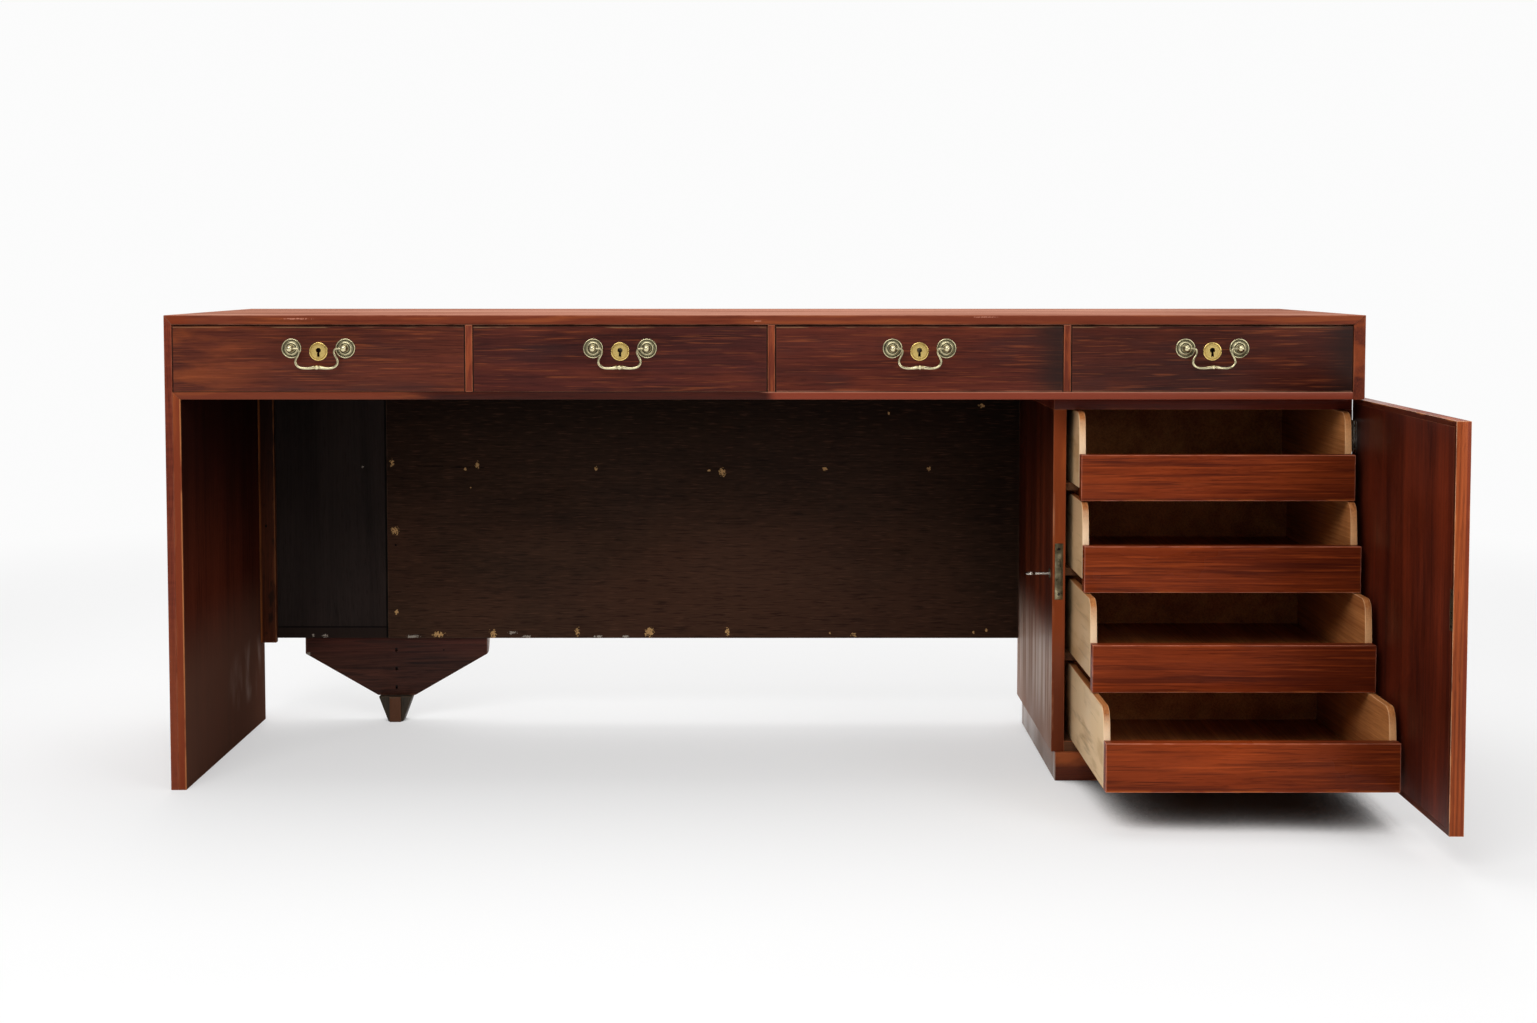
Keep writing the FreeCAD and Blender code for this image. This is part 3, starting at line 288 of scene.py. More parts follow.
def wash(colour, share, *runs, scales=None, fade=(0.45, 0.62)):
    """A colour laid over the wood in patches. Each run is an axis, and where it fades in."""
    return dict(colour=tone(colour), share=share, runs=runs, scales=scales, fade=fade)


def wash_mask(bench, place, item):
    mask = item["share"]
    for axis, start, full in item["runs"]:
        along = bench.split(place)["XYZ".index(axis)]
        rise = bench.spread(along, start, full) if start < full else bench.spread(
            along, full, start, 1.0, 0.0)
        mask = bench.calc("MULTIPLY", rise, mask)
    if item["scales"]:
        patches = bench.effect(
            BLOTCHES, Place=place, Scales=item["scales"], Low=item["fade"][0],
            High=item["fade"][1])
        mask = bench.calc("MULTIPLY", patches["Mask"], mask)
    return mask


def open_finish(material):
    """A material's bench and shader, and the colour that it has so far."""
    shader = material.node_tree.nodes["Principled BSDF"]
    links = shader.inputs["Base Color"].links
    return Bench(material.node_tree), shader, links[0].from_socket if links else None


def new_finish(name):
    material = bpy.data.materials.new(name)
    material.use_nodes = True
    return (material, *open_finish(material)[:2])


def add_relief(bench, shader, height, strength, depth):
    """Small bumps. Their strength and depth are set on the bump's own sockets."""
    bench.put(shader.inputs["Normal"], bench.make(
        "ShaderNodeBump", {"Strength": strength, "Distance": depth, "Height": height}))


def lay_washes(bench, place, colour, washes):
    for item in washes:
        colour = bench.tint(wash_mask(bench, place, item), colour, item["colour"])
    return colour


def door_place(bench, place):
    """The place on the door as if it were shut, measured from its pin."""
    back = Matrix.Rotation(-DOOR_ANGLE, 3, "Z") @ DOOR_PIN
    return bench.turned(place, (0, 0, -DOOR_ANGLE), (-back.x, -back.y, 0))


def wood(name, box, along, dark, light, ribbon=0.6, streaks=0.6, clouds=0.6, ripple=0.0,
         pores=0.4, washes=(), worn=(150, 84, 52), rub=0.6, reach=0.003, patches=22.0,
         arris=(158, 96, 66), arris_share=0.35, gloss=0.36, gleam=0.1, bump=0.15, seed=0,
         on_door=False):
    """One board's finish. box is its low and high corner, where its edges are rubbed."""
    material, bench, shader = new_finish(name)
    place = bench.object_place()
    if on_door:
        place = door_place(bench, place)
    run = bench.turned(place, GRAIN_TURN[along], tuple(step * seed for step in SEED_STEP))
    figure = bench.effect(
        WOOD_FIGURE, Place=run, Dark=tone(dark), Light=tone(light), Ribbon=ribbon,
        Streaks=streaks, Clouds=clouds, Ripple=ripple, Pores=pores)
    colour = lay_washes(bench, place, figure["Colour"], washes)
    edges = bench.effect(RUBBED_EDGES, Place=place, Low=box[0], High=box[1], Reach=reach,
                         Patches=patches)
    rubbed = bench.calc("MULTIPLY", edges["Mask"], rub)
    colour = bench.tint(rubbed, colour, tone(worn))
    line = bench.add("ShaderNodeAttribute", attribute_name="arris").outputs["Fac"]
    breaks = bench.spread(bench.noise(place, (31, 31, 31), 3), 0.36, 0.58, 0.35, 1.0)
    line = bench.calc("MULTIPLY", bench.calc("MULTIPLY", line, breaks), arris_share)
    bench.put(shader.inputs["Base Color"], bench.tint(line, colour, tone(arris)))
    smears = bench.spread(bench.noise(place, (5, 9, 7), 4), 0.35, 0.7, gloss - 0.07, gloss + 0.16)
    worn_rough = bench.calc("MULTIPLY", rubbed, 0.15)
    bench.put(shader.inputs["Roughness"], bench.calc("ADD", smears, worn_rough, clamp=True))
    shader.inputs["Specular IOR Level"].default_value = gleam
    wave = bench.calc("MULTIPLY", bench.noise(place, (17, 17, 17), 2), 1.5)
    add_relief(bench, shader, bench.calc("ADD", figure["Height"], wave), bump, WOOD_RELIEF)
    return material


def lay_over(material, washes):
    """Lays washes over a board's finish, its worn edges too."""
    bench, shader, colour = open_finish(material)
    bench.put(shader.inputs["Base Color"],
              lay_washes(bench, bench.object_place(), colour, washes))
    return material


def metal(name, bright, dull, spot, rubbed=0.5, rub_from=None, patches=1.2, grain=260.0,
          bump=0.12):
    """A metal finish. rub_from names the mesh's own attribute for how much it is handled."""
    material, bench, shader = new_finish(name)
    if rub_from:
        rubbed = bench.add("ShaderNodeAttribute", attribute_name=rub_from).outputs["Fac"]
    surface = bench.effect(
        OLD_METAL, Place=bench.object_place(), Bright=tone(bright), Dull=tone(dull),
        Spot=tone(spot), Rubbed=rubbed, Patches=patches, Grain=grain)
    bench.put(shader.inputs["Base Color"], surface["Colour"])
    bench.put(shader.inputs["Roughness"], surface["Roughness"])
    shader.inputs["Metallic"].default_value = 1.0
    add_relief(bench, shader, surface["Height"], bump, METAL_RELIEF)
    return material


# Pieces

WIDE_OUTLINE = 30 * MM
SHARP_EDGE = math.radians(33)
FLAT_WITHIN = math.radians(0.4)
SMOOTH_BELOW = math.radians(28)
SAME_POINT_DIGITS = 6
EASE_SEGMENTS = 2
BOARD, EASED_STRIP = 0, 1


def stand(name, data):
    """A new object in the scene for a mesh, curve, lamp or camera."""
    piece = bpy.data.objects.new(name, data)
    bpy.context.scene.collection.objects.link(piece)
    return piece


def one_finish(mesh, material):
    mesh.materials.clear()
    mesh.materials.append(material)


def plain_mesh(piece):
    """The piece's mesh with its modifiers applied. The piece itself goes."""
    bpy.context.view_layer.update()
    graph = bpy.context.evaluated_depsgraph_get()
    mesh = bpy.data.meshes.new_from_object(piece.evaluated_get(graph))
    bpy.data.objects.remove(piece)
    return mesh


def show(name, mesh, body, material, replaced=()):
    """Puts a finished mesh in the scene, on its body."""
    mesh.name = name
    piece = stand(name, mesh)
    one_finish(mesh, material)
    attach(piece, body)
    if replaced:
        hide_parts(*replaced)
    return piece


def merged(node):
    """A copy of a node's mesh, each solid closed on its own, with its flats made whole."""
    mesh = NODES[node].data
    points = [tuple(round(v, SAME_POINT_DIGITS) for v in vert.co) for vert in mesh.vertices]
    work = bmesh.new()
    corners_of, open_edges = {}, set()
    for face in mesh.polygons:
        corners = [points[index] for index in face.vertices]
        for point, index in zip(corners, face.vertices):
            if point not in corners_of:
                corners_of[point] = work.verts.new(mesh.vertices[index].co)
        for first, second in zip(corners, corners[1:] + corners[:1]):
            open_edges ^= {frozenset((first, second))}
        if len(set(corners)) == len(corners):
            work.faces.new([corners_of[point] for point in corners])
        if not open_edges:
            corners_of = {}
    work.normal_update()
    bmesh.ops.dissolve_limit(work, angle_limit=FLAT_WITHIN, verts=work.verts, edges=work.edges)
    return work


def wide_outlines(work, width):
    """The sharp outer edges, leaving out small openings and curves too fine to ease."""
    sharp = {edge for edge in work.edges
             if len(edge.link_faces) == 2 and edge.is_convex
             and edge.calc_face_angle(0) > SHARP_EDGE}
    diagonal = reach_of(work.verts)
    found = []
    while sharp:
        group, waiting = [], [sharp.pop()]
        while waiting:
            edge = waiting.pop()
            group.append(edge)
            for vert in edge.verts:
                for other in vert.link_edges:
                    if other in sharp:
                        sharp.remove(other)
                        waiting.append(other)
        reach = reach_of([vert for edge in group for vert in edge.verts])
        shortest = min(edge.calc_length() for edge in group)
        if reach > min(WIDE_OUTLINE, 0.4 * diagonal) and shortest > width:
            found += group
    return found


def reach_of(verts):
    """The greatest distance between the vertices that lie farthest along each axis."""
    verts = list(verts)
    ends = [end(verts, key=lambda vert: vert.co[axis]) for axis in range(3) for end in (min, max)]
    return max((first.co - second.co).length for first in ends for second in ends)


def ease(work, width, chosen=None):
    """Eases the long outer edges, and marks the new strips with the corner attribute arris."""
    weight = work.edges.layers.float.new("bevel_weight_edge")
    for edge in wide_outlines(work, width):
        if chosen is None or chosen(edge):
            edge[weight] = 1.0
    mesh = bpy.data.meshes.new("work")
    work.to_mesh(mesh)
    work.free()
    for _ in (BOARD, EASED_STRIP):
        mesh.materials.append(None)
    piece = stand("work", mesh)
    bevel = piece.modifiers.new("ease", "BEVEL")
    bevel.limit_method = "WEIGHT"
    bevel.width = width
    bevel.segments = EASE_SEGMENTS
    bevel.material = EASED_STRIP
    bevel.use_clamp_overlap = True
    eased = plain_mesh(piece)
    line = eased.attributes.new("arris", "FLOAT", "CORNER")
    for face in eased.polygons:
        if face.material_index == EASED_STRIP:
            for corner in face.loop_indices:
                line.data[corner].value = 1.0
        face.material_index = BOARD
        face.use_smooth = True
    eased.set_sharp_from_angle(angle=SMOOTH_BELOW)
    return eased


def dress(node, material, width=0.8 * MM, chosen=None):
    """Stands an eased copy of the node in its place. chosen picks the edges that are eased."""
    mesh = ease(merged(node), width, chosen)
    return show(node + "_eased", mesh, NODES[node]["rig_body"], material, (node,))


def box_of(node):
    return tuple(tuple(corner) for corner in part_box(node))


# The case

CASE_DARK, CASE_LIGHT = (62, 22, 14), (126, 56, 32)
# LINER_SHADE is painted shade for the liner's upper part, under the drawer case.
ORANGE, LINER_SHADE, SCUFF = (160, 76, 34), (22, 10, 8), (150, 130, 120)
# GAP_SHADE is painted shade: thin near-black lines where one part meets the next.
PINK_LINE, GAP_SHADE = (184, 120, 96), (34, 15, 12)
TOP_SCRATCHES = [(-0.73, 0.7345, 24, 1.1), (0.33, 0.7372, 20, 0.8), (-0.02, 0.731, 9, 0.8)]


def near(axis, corner, start, full):
    """A run that fades in near a box's corner, from start to full millimetres past it."""
    place = corner["XYZ".index(axis)]
    return axis, place + start * MM, place + full * MM


def case_finish(node, along, seed, *washes, dark=CASE_DARK, light=CASE_LIGHT, **settings):
    return wood(node + "_finish", box_of(node), along, dark, light, seed=seed, washes=washes,
                **settings)


def board(node, along, seed, *washes, spots=(), **settings):
    """Stands an eased copy of a board in its place, with a finish and spots of its own."""
    finish = case_finish(node, along, seed, *washes, **settings)
    for group in spots:
        add_spots(finish, *group)
    dress(node, finish)


def keep(node, along, seed, **settings):
    """Leaves a board as it is, with a finish of its own."""
    mesh = NODES[node].data
    one_finish(mesh, case_finish(node, along, seed, **settings))
    for face in mesh.polygons:
        face.material_index = BOARD


def top_finish():
    # The top's pale pink colours, and the pale pink patches over them, are painted sheen: the
    # shine its polish shows at a glancing view. Its front edge keeps the mahogany's own red.
    low, high = box_of("top_panel")
    front = near("Y", low, 1.6, 0.4)
    return wood(
        "top_with_painted_sheen", (low, high), "X", (136, 86, 70), (182, 128, 108), ribbon=0.7, streaks=0.9,
        clouds=0.8, gloss=0.7, gleam=0.0, seed=1, worn=(168, 98, 70), rub=0.2, reach=0.0025,
        arris=PINK_LINE, arris_share=0.3,
        washes=[
            wash((196, 148, 128), 0.5, scales=(1.6, 5, 5), fade=(0.45, 0.7)),
            wash((112, 50, 32), 0.95, front),
            wash((156, 82, 46), 0.5, front, scales=(5, 40, 90), fade=(0.5, 0.66)),
            wash((74, 32, 24), 0.5, front, scales=(6, 40, 120), fade=(0.52, 0.7)),
            wash((124, 54, 32), 0.8, front, near("X", low, 60, 20)),
            # A near-black line along the bottom of the top's front edge: painted shade over the
            # drawers.
            wash(GAP_SHADE, 0.95, front, near("Z", low, 2, 1.2))])


def dress_case():
    dress("top_panel", add_spots(top_finish(), TOP_SCRATCHES, (186, 122, 100)), 1.1 * MM)
    board("left_end_panel", "Z", 2,
          wash((150, 70, 38), 0.5, scales=(14, 14, 3), fade=(0.5, 0.68)),
          wash((146, 70, 38), 0.45, ("Z", 0.34, 0.12), scales=(20, 20, 2.5), fade=(0.4, 0.62)),
          dark=(92, 36, 23), light=(134, 60, 38), ripple=0.45, worn=(150, 76, 46),
          arris=PINK_LINE, rub=0.3, arris_share=0.2)
    low, high = box_of("left_end_liner")
    front = near("Y", low, 3, 1)
    board("left_end_liner", "Z", 3,
          # Darker toward the top, under the drawer case, and lighter toward the bottom: painted
          # shade and painted light.
          wash(LINER_SHADE, 0.8, ("Z", 0.26, 0.56)),
          wash((92, 64, 52), 0.7, ("Z", 0.3, 0.14)),
          wash(SCUFF, 0.55, ("Z", 0.17, 0.13), ("Z", 0.05, 0.08), ("Y", 0.16, 0.34),
               scales=(24, 24, 7), fade=(0.46, 0.7)),
          wash((124, 56, 35), 0.95, front),
          wash((150, 78, 42), 0.45, front, scales=(20, 20, 3), fade=(0.5, 0.66)),
          wash((196, 128, 78), 0.75, front, near("X", high, -1.8, -1), scales=(30, 30, 12),
               fade=(0.36, 0.5)),
          dark=(36, 15, 10), light=(80, 34, 21), gloss=0.5, gleam=0.0, rub=0.3)
    board("case_right_side", "Y", 4, wash(ORANGE, 0.4, scales=(12, 4, 30)), arris=PINK_LINE)
    low, high = box_of("case_floor_board")
    board("case_floor_board", "X", 5,
          wash((118, 54, 34), 0.85, ("X", -0.5, -0.62)),
          wash((134, 60, 41), 0.88, ("X", -0.01, 0.01)),
          wash((150, 78, 42), 0.4, ("X", -0.4, -0.6), scales=(9, 30, 60), fade=(0.5, 0.66)),
          wash((190, 126, 100), 0.75, ("X", -0.02, 0.0), near("Z", low, 10, 10.8)),
          # A near-black line along the rail's top, and its arrises in the same near-black: painted
          # shade in the gaps.
          wash(GAP_SHADE, 0.9, near("Z", high, -0.9, -0.4)),
          dark=(32, 12, 7), light=(66, 25, 16), rub=0.0, clouds=0.4, arris=GAP_SHADE,
          arris_share=0.2)
    board("drawer_dividers", "Z", 6,
          wash((158, 78, 42), 0.5, scales=(160, 20, 20), fade=(0.46, 0.62)),
          dark=(66, 25, 16), light=(122, 54, 34), rub=0.3, arris=(196, 122, 84),
          arris_share=0.5)
    keep("case_back", "X", 7, dark=(20, 13, 10), light=(47, 30, 23), gloss=0.5)
    keep("drawer_stops", "X", 8, gloss=0.55)


# The kneehole's back

# HOLE_AND_GAP_SHADE is painted shade: near-black in holes, in a crack and in a corner.
GOLDEN_FLECK, GREY_FLECK, HOLE_AND_GAP_SHADE = (184, 144, 94), (150, 140, 128), (8, 6, 5)
TORN_FLECKS = [
    # x and z in metres, half width and half height in millimetres
    (-0.675, 0.465, 4, 7), (-0.544, 0.455, 3, 4), (-0.523, 0.462, 4, 8), (-0.535, 0.422, 2, 2),
    (-0.311, 0.455, 3, 4), (-0.109, 0.452, 3, 2), (-0.085, 0.450, 6, 8), (0.098, 0.455, 5, 3),
    (0.283, 0.455, 4, 4), (0.378, 0.568, 7, 4), (-0.671, 0.344, 7, 8), (-0.670, 0.197, 4, 5),
    (-0.690, 0.170, 4, 4), (-0.594, 0.157, 13, 5), (-0.497, 0.158, 6, 9), (-0.346, 0.162, 4, 9),
    (-0.216, 0.160, 8, 9), (-0.076, 0.162, 4, 8), (0.150, 0.156, 5, 5), (0.108, 0.160, 2, 3),
    (0.212, 0.555, 2, 3), (0.365, 0.160, 2, 3), (0.388, 0.164, 2, 3)]
SCRAPED_SPOTS = [
    (-0.641, 0.153, 14, 3), (-0.462, 0.160, 9, 3), (-0.436, 0.153, 9, 2.5),
    (-0.308, 0.153, 9, 2.5), (-0.258, 0.153, 7, 2.5), (-0.799, 0.154, 5, 4),
    (-0.820, 0.155, 3, 3), (-0.728, 0.458, 2.4, 2.4)]
HAIRLINE_CRACK = [(-0.6, 0.4598, 34, 1.1), (-0.55, 0.458, 30, 1.0), (-0.52, 0.4572, 16, 0.9)]
RAGGED = 5.0
LEDGE_MM = 19


def spot_mask(bench, place, spots, ragged, front):
    """1 in small spots, torn at their edges as much as ragged says, up to the depth front."""
    torn = bench.calc("SUBTRACT", bench.noise(place, (430, 430, 430), 2), 0.5)
    torn = bench.calc("MULTIPLY", torn, ragged)
    x, y, z = bench.split(place)
    mask = 0.0
    for middle_x, middle_z, half_width, half_height in spots:
        across = bench.calc("DIVIDE", bench.calc("SUBTRACT", x, middle_x), half_width * MM)
        up = bench.calc("DIVIDE", bench.calc("SUBTRACT", z, middle_z), half_height * MM)
        reach = bench.calc("ADD", bench.calc("MULTIPLY", across, across),
                           bench.calc("MULTIPLY", up, up))
        spot = bench.spread(bench.calc("ADD", reach, torn), 0.3, 0.75, 1.0, 0.0)
        mask = bench.calc("MAXIMUM", mask, spot)
    if front is not None:
        mask = bench.calc("MULTIPLY", mask, bench.calc("LESS_THAN", y, front))
    return mask


def add_spots(material, spots, colour, ragged=RAGGED, front=None):
    """Lays spots over a board's finish, on all of it or only as deep as front."""
    bench, shader, under = open_finish(material)
    mask = spot_mask(bench, bench.object_place(), spots, ragged, front)
    bench.put(shader.inputs["Base Color"], bench.tint(mask, under, tone(colour)))
    return material


def dress_kneehole():
    seen_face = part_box("kneehole_panel")[0].y + 2 * MM
    board("kneehole_panel", "X", 9,
          # Darker toward the top, under the drawer case, and toward the pedestal: painted shade.
          # The lighter patches lower down are partly the board's own colour and partly painted
          # light.
          wash((17, 12, 9), 0.75, ("Z", 0.38, 0.6)),
          wash((70, 44, 32), 0.5, ("Z", 0.44, 0.3), scales=(2.5, 4, 5), fade=(0.38, 0.6)),
          wash((26, 18, 13), 0.5, ("X", 0.24, 0.44)),
          wash((20, 13, 10), 0.6, scales=(28, 300, 420), fade=(0.5, 0.68)),
          wash((92, 62, 46), 0.35, scales=(34, 300, 480), fade=(0.54, 0.7)),
          dark=(40, 27, 20), light=(66, 45, 33), streaks=0.6, ribbon=0.25, gloss=0.6,
          gleam=0.04, bump=0.3, worn=(74, 54, 42), arris=(100, 80, 64), rub=0.4,
          spots=[(HAIRLINE_CRACK, HOLE_AND_GAP_SHADE, 1.5),
                 ([(-0.670, 0.318, 2.6, 2.6)], HOLE_AND_GAP_SHADE, 0.5),
                 (SCRAPED_SPOTS, GREY_FLECK, RAGGED, seen_face),
                 (TORN_FLECKS, GOLDEN_FLECK, RAGGED, seen_face)])
    low, high = box_of("kneehole_narrow_panel")
    board("kneehole_narrow_panel", "Z", 10,
          wash((46, 36, 33), 0.3, ("Z", 0.4, 0.2), scales=(14, 30, 6), fade=(0.4, 0.65)),
          wash((36, 27, 23), 0.8, near("Z", low, LEDGE_MM + 1, LEDGE_MM)),
          # A near-black line at the ledge: painted shade in its crease.
          wash((8, 6, 6), 0.8, near("Z", low, LEDGE_MM - 1, LEDGE_MM),
               near("Z", low, LEDGE_MM + 3, LEDGE_MM + 2)),
          # A near-black strip at the panel's right edge: painted shade in the corner.
          wash(HOLE_AND_GAP_SHADE, 0.9, near("X", high, -5, -3)),
          dark=(28, 23, 21), light=(43, 35, 32), gloss=0.6, gleam=0.03, bump=0.25, rub=0.3,
          worn=(50, 38, 31), arris=(60, 45, 36), spots=[(SCRAPED_SPOTS, GREY_FLECK)])
    low, _ = box_of("back_batten")
    board("back_batten", "Z", 11,
          # Darker toward the top, under the drawer case: painted shade.
          wash((20, 12, 9), 0.8, ("Z", 0.34, 0.56)),
          wash((28, 16, 11), 0.8, scales=(60, 60, 26), fade=(0.54, 0.66)),
          wash((150, 84, 40), 0.8, near("X", low, 5, 1), scales=(40, 40, 5),
               fade=(0.3, 0.55)),
          dark=(38, 18, 11), light=(78, 38, 21), gloss=0.5, gleam=0.05, arris=(150, 96, 56),
          worn=(112, 66, 38), spots=[([(-0.8985, 0.354, 2.6, 3.4)], HOLE_AND_GAP_SHADE, 0.3)])
    low, high = box_of("rear_bracket")
    middle = (low[0] + high[0]) / 2
    holes = [(middle, 0.129 - step * 34 * MM, 2.9, 2.9) for step in range(3)]
    board("rear_bracket", "X", 12,
          wash((92, 42, 32), 0.5, ("Z", 0.1, 0.17), scales=(5, 30, 60), fade=(0.4, 0.62)),
          wash((26, 18, 16), 0.6, scales=(9, 60, 150), fade=(0.52, 0.66)),
          wash((150, 128, 112), 0.9, near("Y", low, 13, 16), near("X", high, -30, -26),
               scales=(60, 60, 60), fade=(0.3, 0.5)),
          dark=(36, 20, 16), light=(76, 44, 34), gloss=0.5, streaks=0.9, worn=(104, 66, 50),
          arris=(120, 88, 68),
          spots=[(holes + [(-0.587, 0.127, 2.2, 2)], HOLE_AND_GAP_SHADE, 0.4),
                 ([(-0.83, 0.119, 4, 4)], GREY_FLECK)])
    low, _ = box_of("rear_foot")
    board("rear_foot", "Z", 13, wash((88, 54, 36), 0.85, near("Y", low, 5, 3)),
          dark=(32, 28, 24), light=(64, 56, 46), gloss=0.5, worn=(96, 74, 58),
          arris=(110, 88, 70))


# The pedestal


def dress_pedestal():
    low, _ = box_of("pedestal_left_side")
    front = near("Y", low, 2.5, 0.8)
    board("pedestal_left_side", "Z", 14,
          # Paler and greyer toward the bottom, in streaks: painted sheen, the floor's light seen
          # in the side at a glancing view. Darker toward the top, under the drawer case: painted
          # shade.
          wash((172, 136, 118), 0.85, ("Z", 0.28, 0.16)),
          wash((224, 206, 192), 0.6, ("Z", 0.25, 0.17), ("Z", 0.05, 0.13),
               scales=(70, 46, 2), fade=(0.42, 0.62)),
          wash((26, 11, 7), 0.6, ("Z", 0.42, 0.6)),
          wash((134, 62, 31), 0.95, front),
          wash((170, 88, 42), 0.5, front, scales=(30, 30, 3), fade=(0.5, 0.66)),
          wash((76, 34, 20), 0.7, front, ("Z", 0.26, 0.12)),
          wash((190, 130, 96), 0.6, front, near("X", low, 4, 1), scales=(30, 30, 9),
               fade=(0.48, 0.6)),
          dark=(44, 16, 9), light=(96, 41, 22), ribbon=1.0, gloss=0.5, gleam=0.02, rub=0.35,
          worn=(150, 78, 44))
    board("pedestal_right_side", "Z", 15)
    board("pedestal_top", "X", 16, dark=(50, 17, 10), light=(100, 38, 24), rub=0.3,
          arris_share=0.2)
    low, _ = box_of("plinth")
    board("plinth", "X", 17,
          wash((154, 78, 38), 0.8, ("X", 0.57, 0.5), ("Z", 0.014, 0.034),
               scales=(14, 30, 30), fade=(0.3, 0.55)),
          # The plinth's left face in pale grey: painted sheen at a glancing view.
          wash((150, 126, 112), 0.8, near("X", low, 1.4, 0.6)),
          dark=(44, 17, 10), light=(88, 38, 20), arris_share=0.2)
    keep("pedestal_floor_board", "X", 18, dark=(52, 30, 20), light=(104, 66, 42), gloss=0.55)
    keep("pedestal_back", "X", 19, dark=(24, 15, 11), light=(50, 32, 24), gloss=0.52)
    keep("tray_runners", "Y", 20, dark=(70, 42, 26), light=(124, 82, 52), gloss=0.55)


def dress_tray(number):
    front, tray = "tray_%d_front" % number, "tray_%d_box" % number
    low, high = box_of(front)
    board(front, "X", 30 + number,
          wash((132, 56, 26), 0.4, near("X", low, 200, 0)),
          wash((60, 22, 12), 0.5, near("X", high, -240, 0)),
          wash((58, 20, 12), 0.5, scales=(4, 40, 120), fade=(0.5, 0.66)),
          wash((48, 16, 12), 0.45, scales=(9, 60, 420), fade=(0.54, 0.66)),
          wash((168, 74, 30), 0.4, scales=(7, 60, 260), fade=(0.54, 0.68)),
          wash((192, 104, 44), 0.6, near("Z", low, 4, 0), scales=(16, 30, 30),
               fade=(0.46, 0.62)),
          dark=(92, 30, 10), light=(142, 58, 23), ribbon=0.7, streaks=0.7, gloss=0.34,
          gleam=0.06, worn=(170, 92, 54), rub=0.3, reach=0.002, arris=(214, 138, 112),
          arris_share=0.6)
    low, _ = box_of(tray)
    left, rim = near("X", low, 1.2, 0.4), near("Y", low, 12, -1)
    board(tray, "Y", 40 + number,
          wash((236, 204, 160), 0.95, left),
          wash((176, 136, 86), 0.5, left, scales=(20, 7, 26), fade=(0.5, 0.66)),
          wash((164, 122, 78), 0.5 if number < 4 else 0.0, left),
          wash((120, 86, 54), 0.3, left, scales=(20, 9, 120), fade=(0.56, 0.7)),
          # Paler toward the tray's front, and near-white at its front left: painted light where
          # the light falls in.
          wash((236, 186, 134), 0.9, rim),
          wash((255, 234, 200), 0.9, rim, near("X", low, 30, 20)),
          dark=(142, 82, 42), light=(198, 132, 76), ribbon=0.6, streaks=0.8, clouds=0.4,
          pores=0.2, gloss=0.5, worn=(210, 156, 104), arris=(232, 188, 144), arris_share=0.5)


# The drawers

FRONT_TONES = {
    # drawer: dark and light
    1: ((54, 21, 14), (102, 47, 32)), 2: ((46, 17, 14), (86, 37, 29)),
    3: ((50, 18, 13), (96, 41, 28)), 4: ((42, 16, 12), (84, 36, 24))}
SMUDGE = (50, 31, 30)


def front_washes(number, low, high):
    items = [
        wash((132, 60, 32), 0.24, scales=(6, 30, 30), fade=(0.5, 0.76)),
        wash(SMUDGE, 0.4, scales=(7, 20, 22), fade=(0.5, 0.74)),
        wash((36, 18, 16), 0.4, scales=(9, 60, 360), fade=(0.52, 0.68)),
        wash((150, 78, 42), 0.35, scales=(14, 60, 460), fade=(0.56, 0.7)),
        wash((150, 118, 84), 0.55, near("Z", high, -3.2, -2.4), scales=(14, 20, 20),
             fade=(0.42, 0.56)),
        # The near-black line at the top of each front: painted shade in the gap above the drawer.
        wash(GAP_SHADE, 0.95, near("Z", high, -2, -1.4))]
    if number == 1:
        items += [wash((150, 74, 38), 0.5, near("X", low, 200, 0), scales=(7, 20, 30)),
                  wash(SMUDGE, 0.5, near("Z", low, 30, 0), scales=(5, 20, 20))]
    if number in (3, 4):
        items += [wash((34, 22, 19), 0.8, near("X", high, -70, -4)),
                  wash((176, 116, 94), 0.6, near("Z", low, 1.6, 0.9), near("Z", low, -1, 0),
                       scales=(9, 20, 20), fade=(0.4, 0.56))]
    return items


def dress_drawer(number):
    front, drawer = "drawer_%d_front" % number, "drawer_%d_box" % number
    low, high = box_of(front)
    dark, light = FRONT_TONES[number]
    finish = case_finish(
        front, "X", 50 + number, *front_washes(number, low, high), dark=dark, light=light,
        ribbon=0.35, streaks=0.8, clouds=0.5, gloss=0.36, worn=(108, 56, 38), rub=0.4,
        reach=0.0025, arris=(168, 122, 80), arris_share=0.6)
    # Near-black lines at both ends of each front: painted shade in the gaps beside the drawer.
    dress(front, lay_over(finish, [wash(GAP_SHADE, 0.95, near("X", low, 1.5, 1)),
                                   wash(GAP_SHADE, 0.95, near("X", high, -1.5, -1))]))
    board(drawer, "Y", 60 + number, dark=(92, 52, 30), light=(150, 98, 62), gloss=0.5,
          arris=(180, 130, 92), worn=(164, 112, 74))


# The door, measured from its pin as if it were shut

DOOR_FREE_EDGE, DOOR_PIN_EDGE = -467.5 * MM, -1.5 * MM
DOOR_OUTER, DOOR_INNER = -18.5 * MM, 1.5 * MM


def door_box(node):
    low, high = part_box(node)
    return (DOOR_FREE_EDGE, DOOR_OUTER, low.z), (DOOR_PIN_EDGE, DOOR_INNER, high.z)


def on_door_outline(edge):
    """Whether an edge is one of the shut door's own twelve, not one of a recess for a plate."""
    low, high = door_box("door_lipping")
    back = Matrix.Rotation(-DOOR_ANGLE, 3, "Z")
    ends = []
    for vert in edge.verts:
        place = back @ (vert.co - Vector((DOOR_PIN.x, DOOR_PIN.y, 0)))
        ends.append({(axis, side) for axis in range(3) for side, corner in enumerate((low, high))
                     if abs(place[axis] - corner[axis]) < 0.1 * MM})
    return len(ends[0] & ends[1]) >= 2


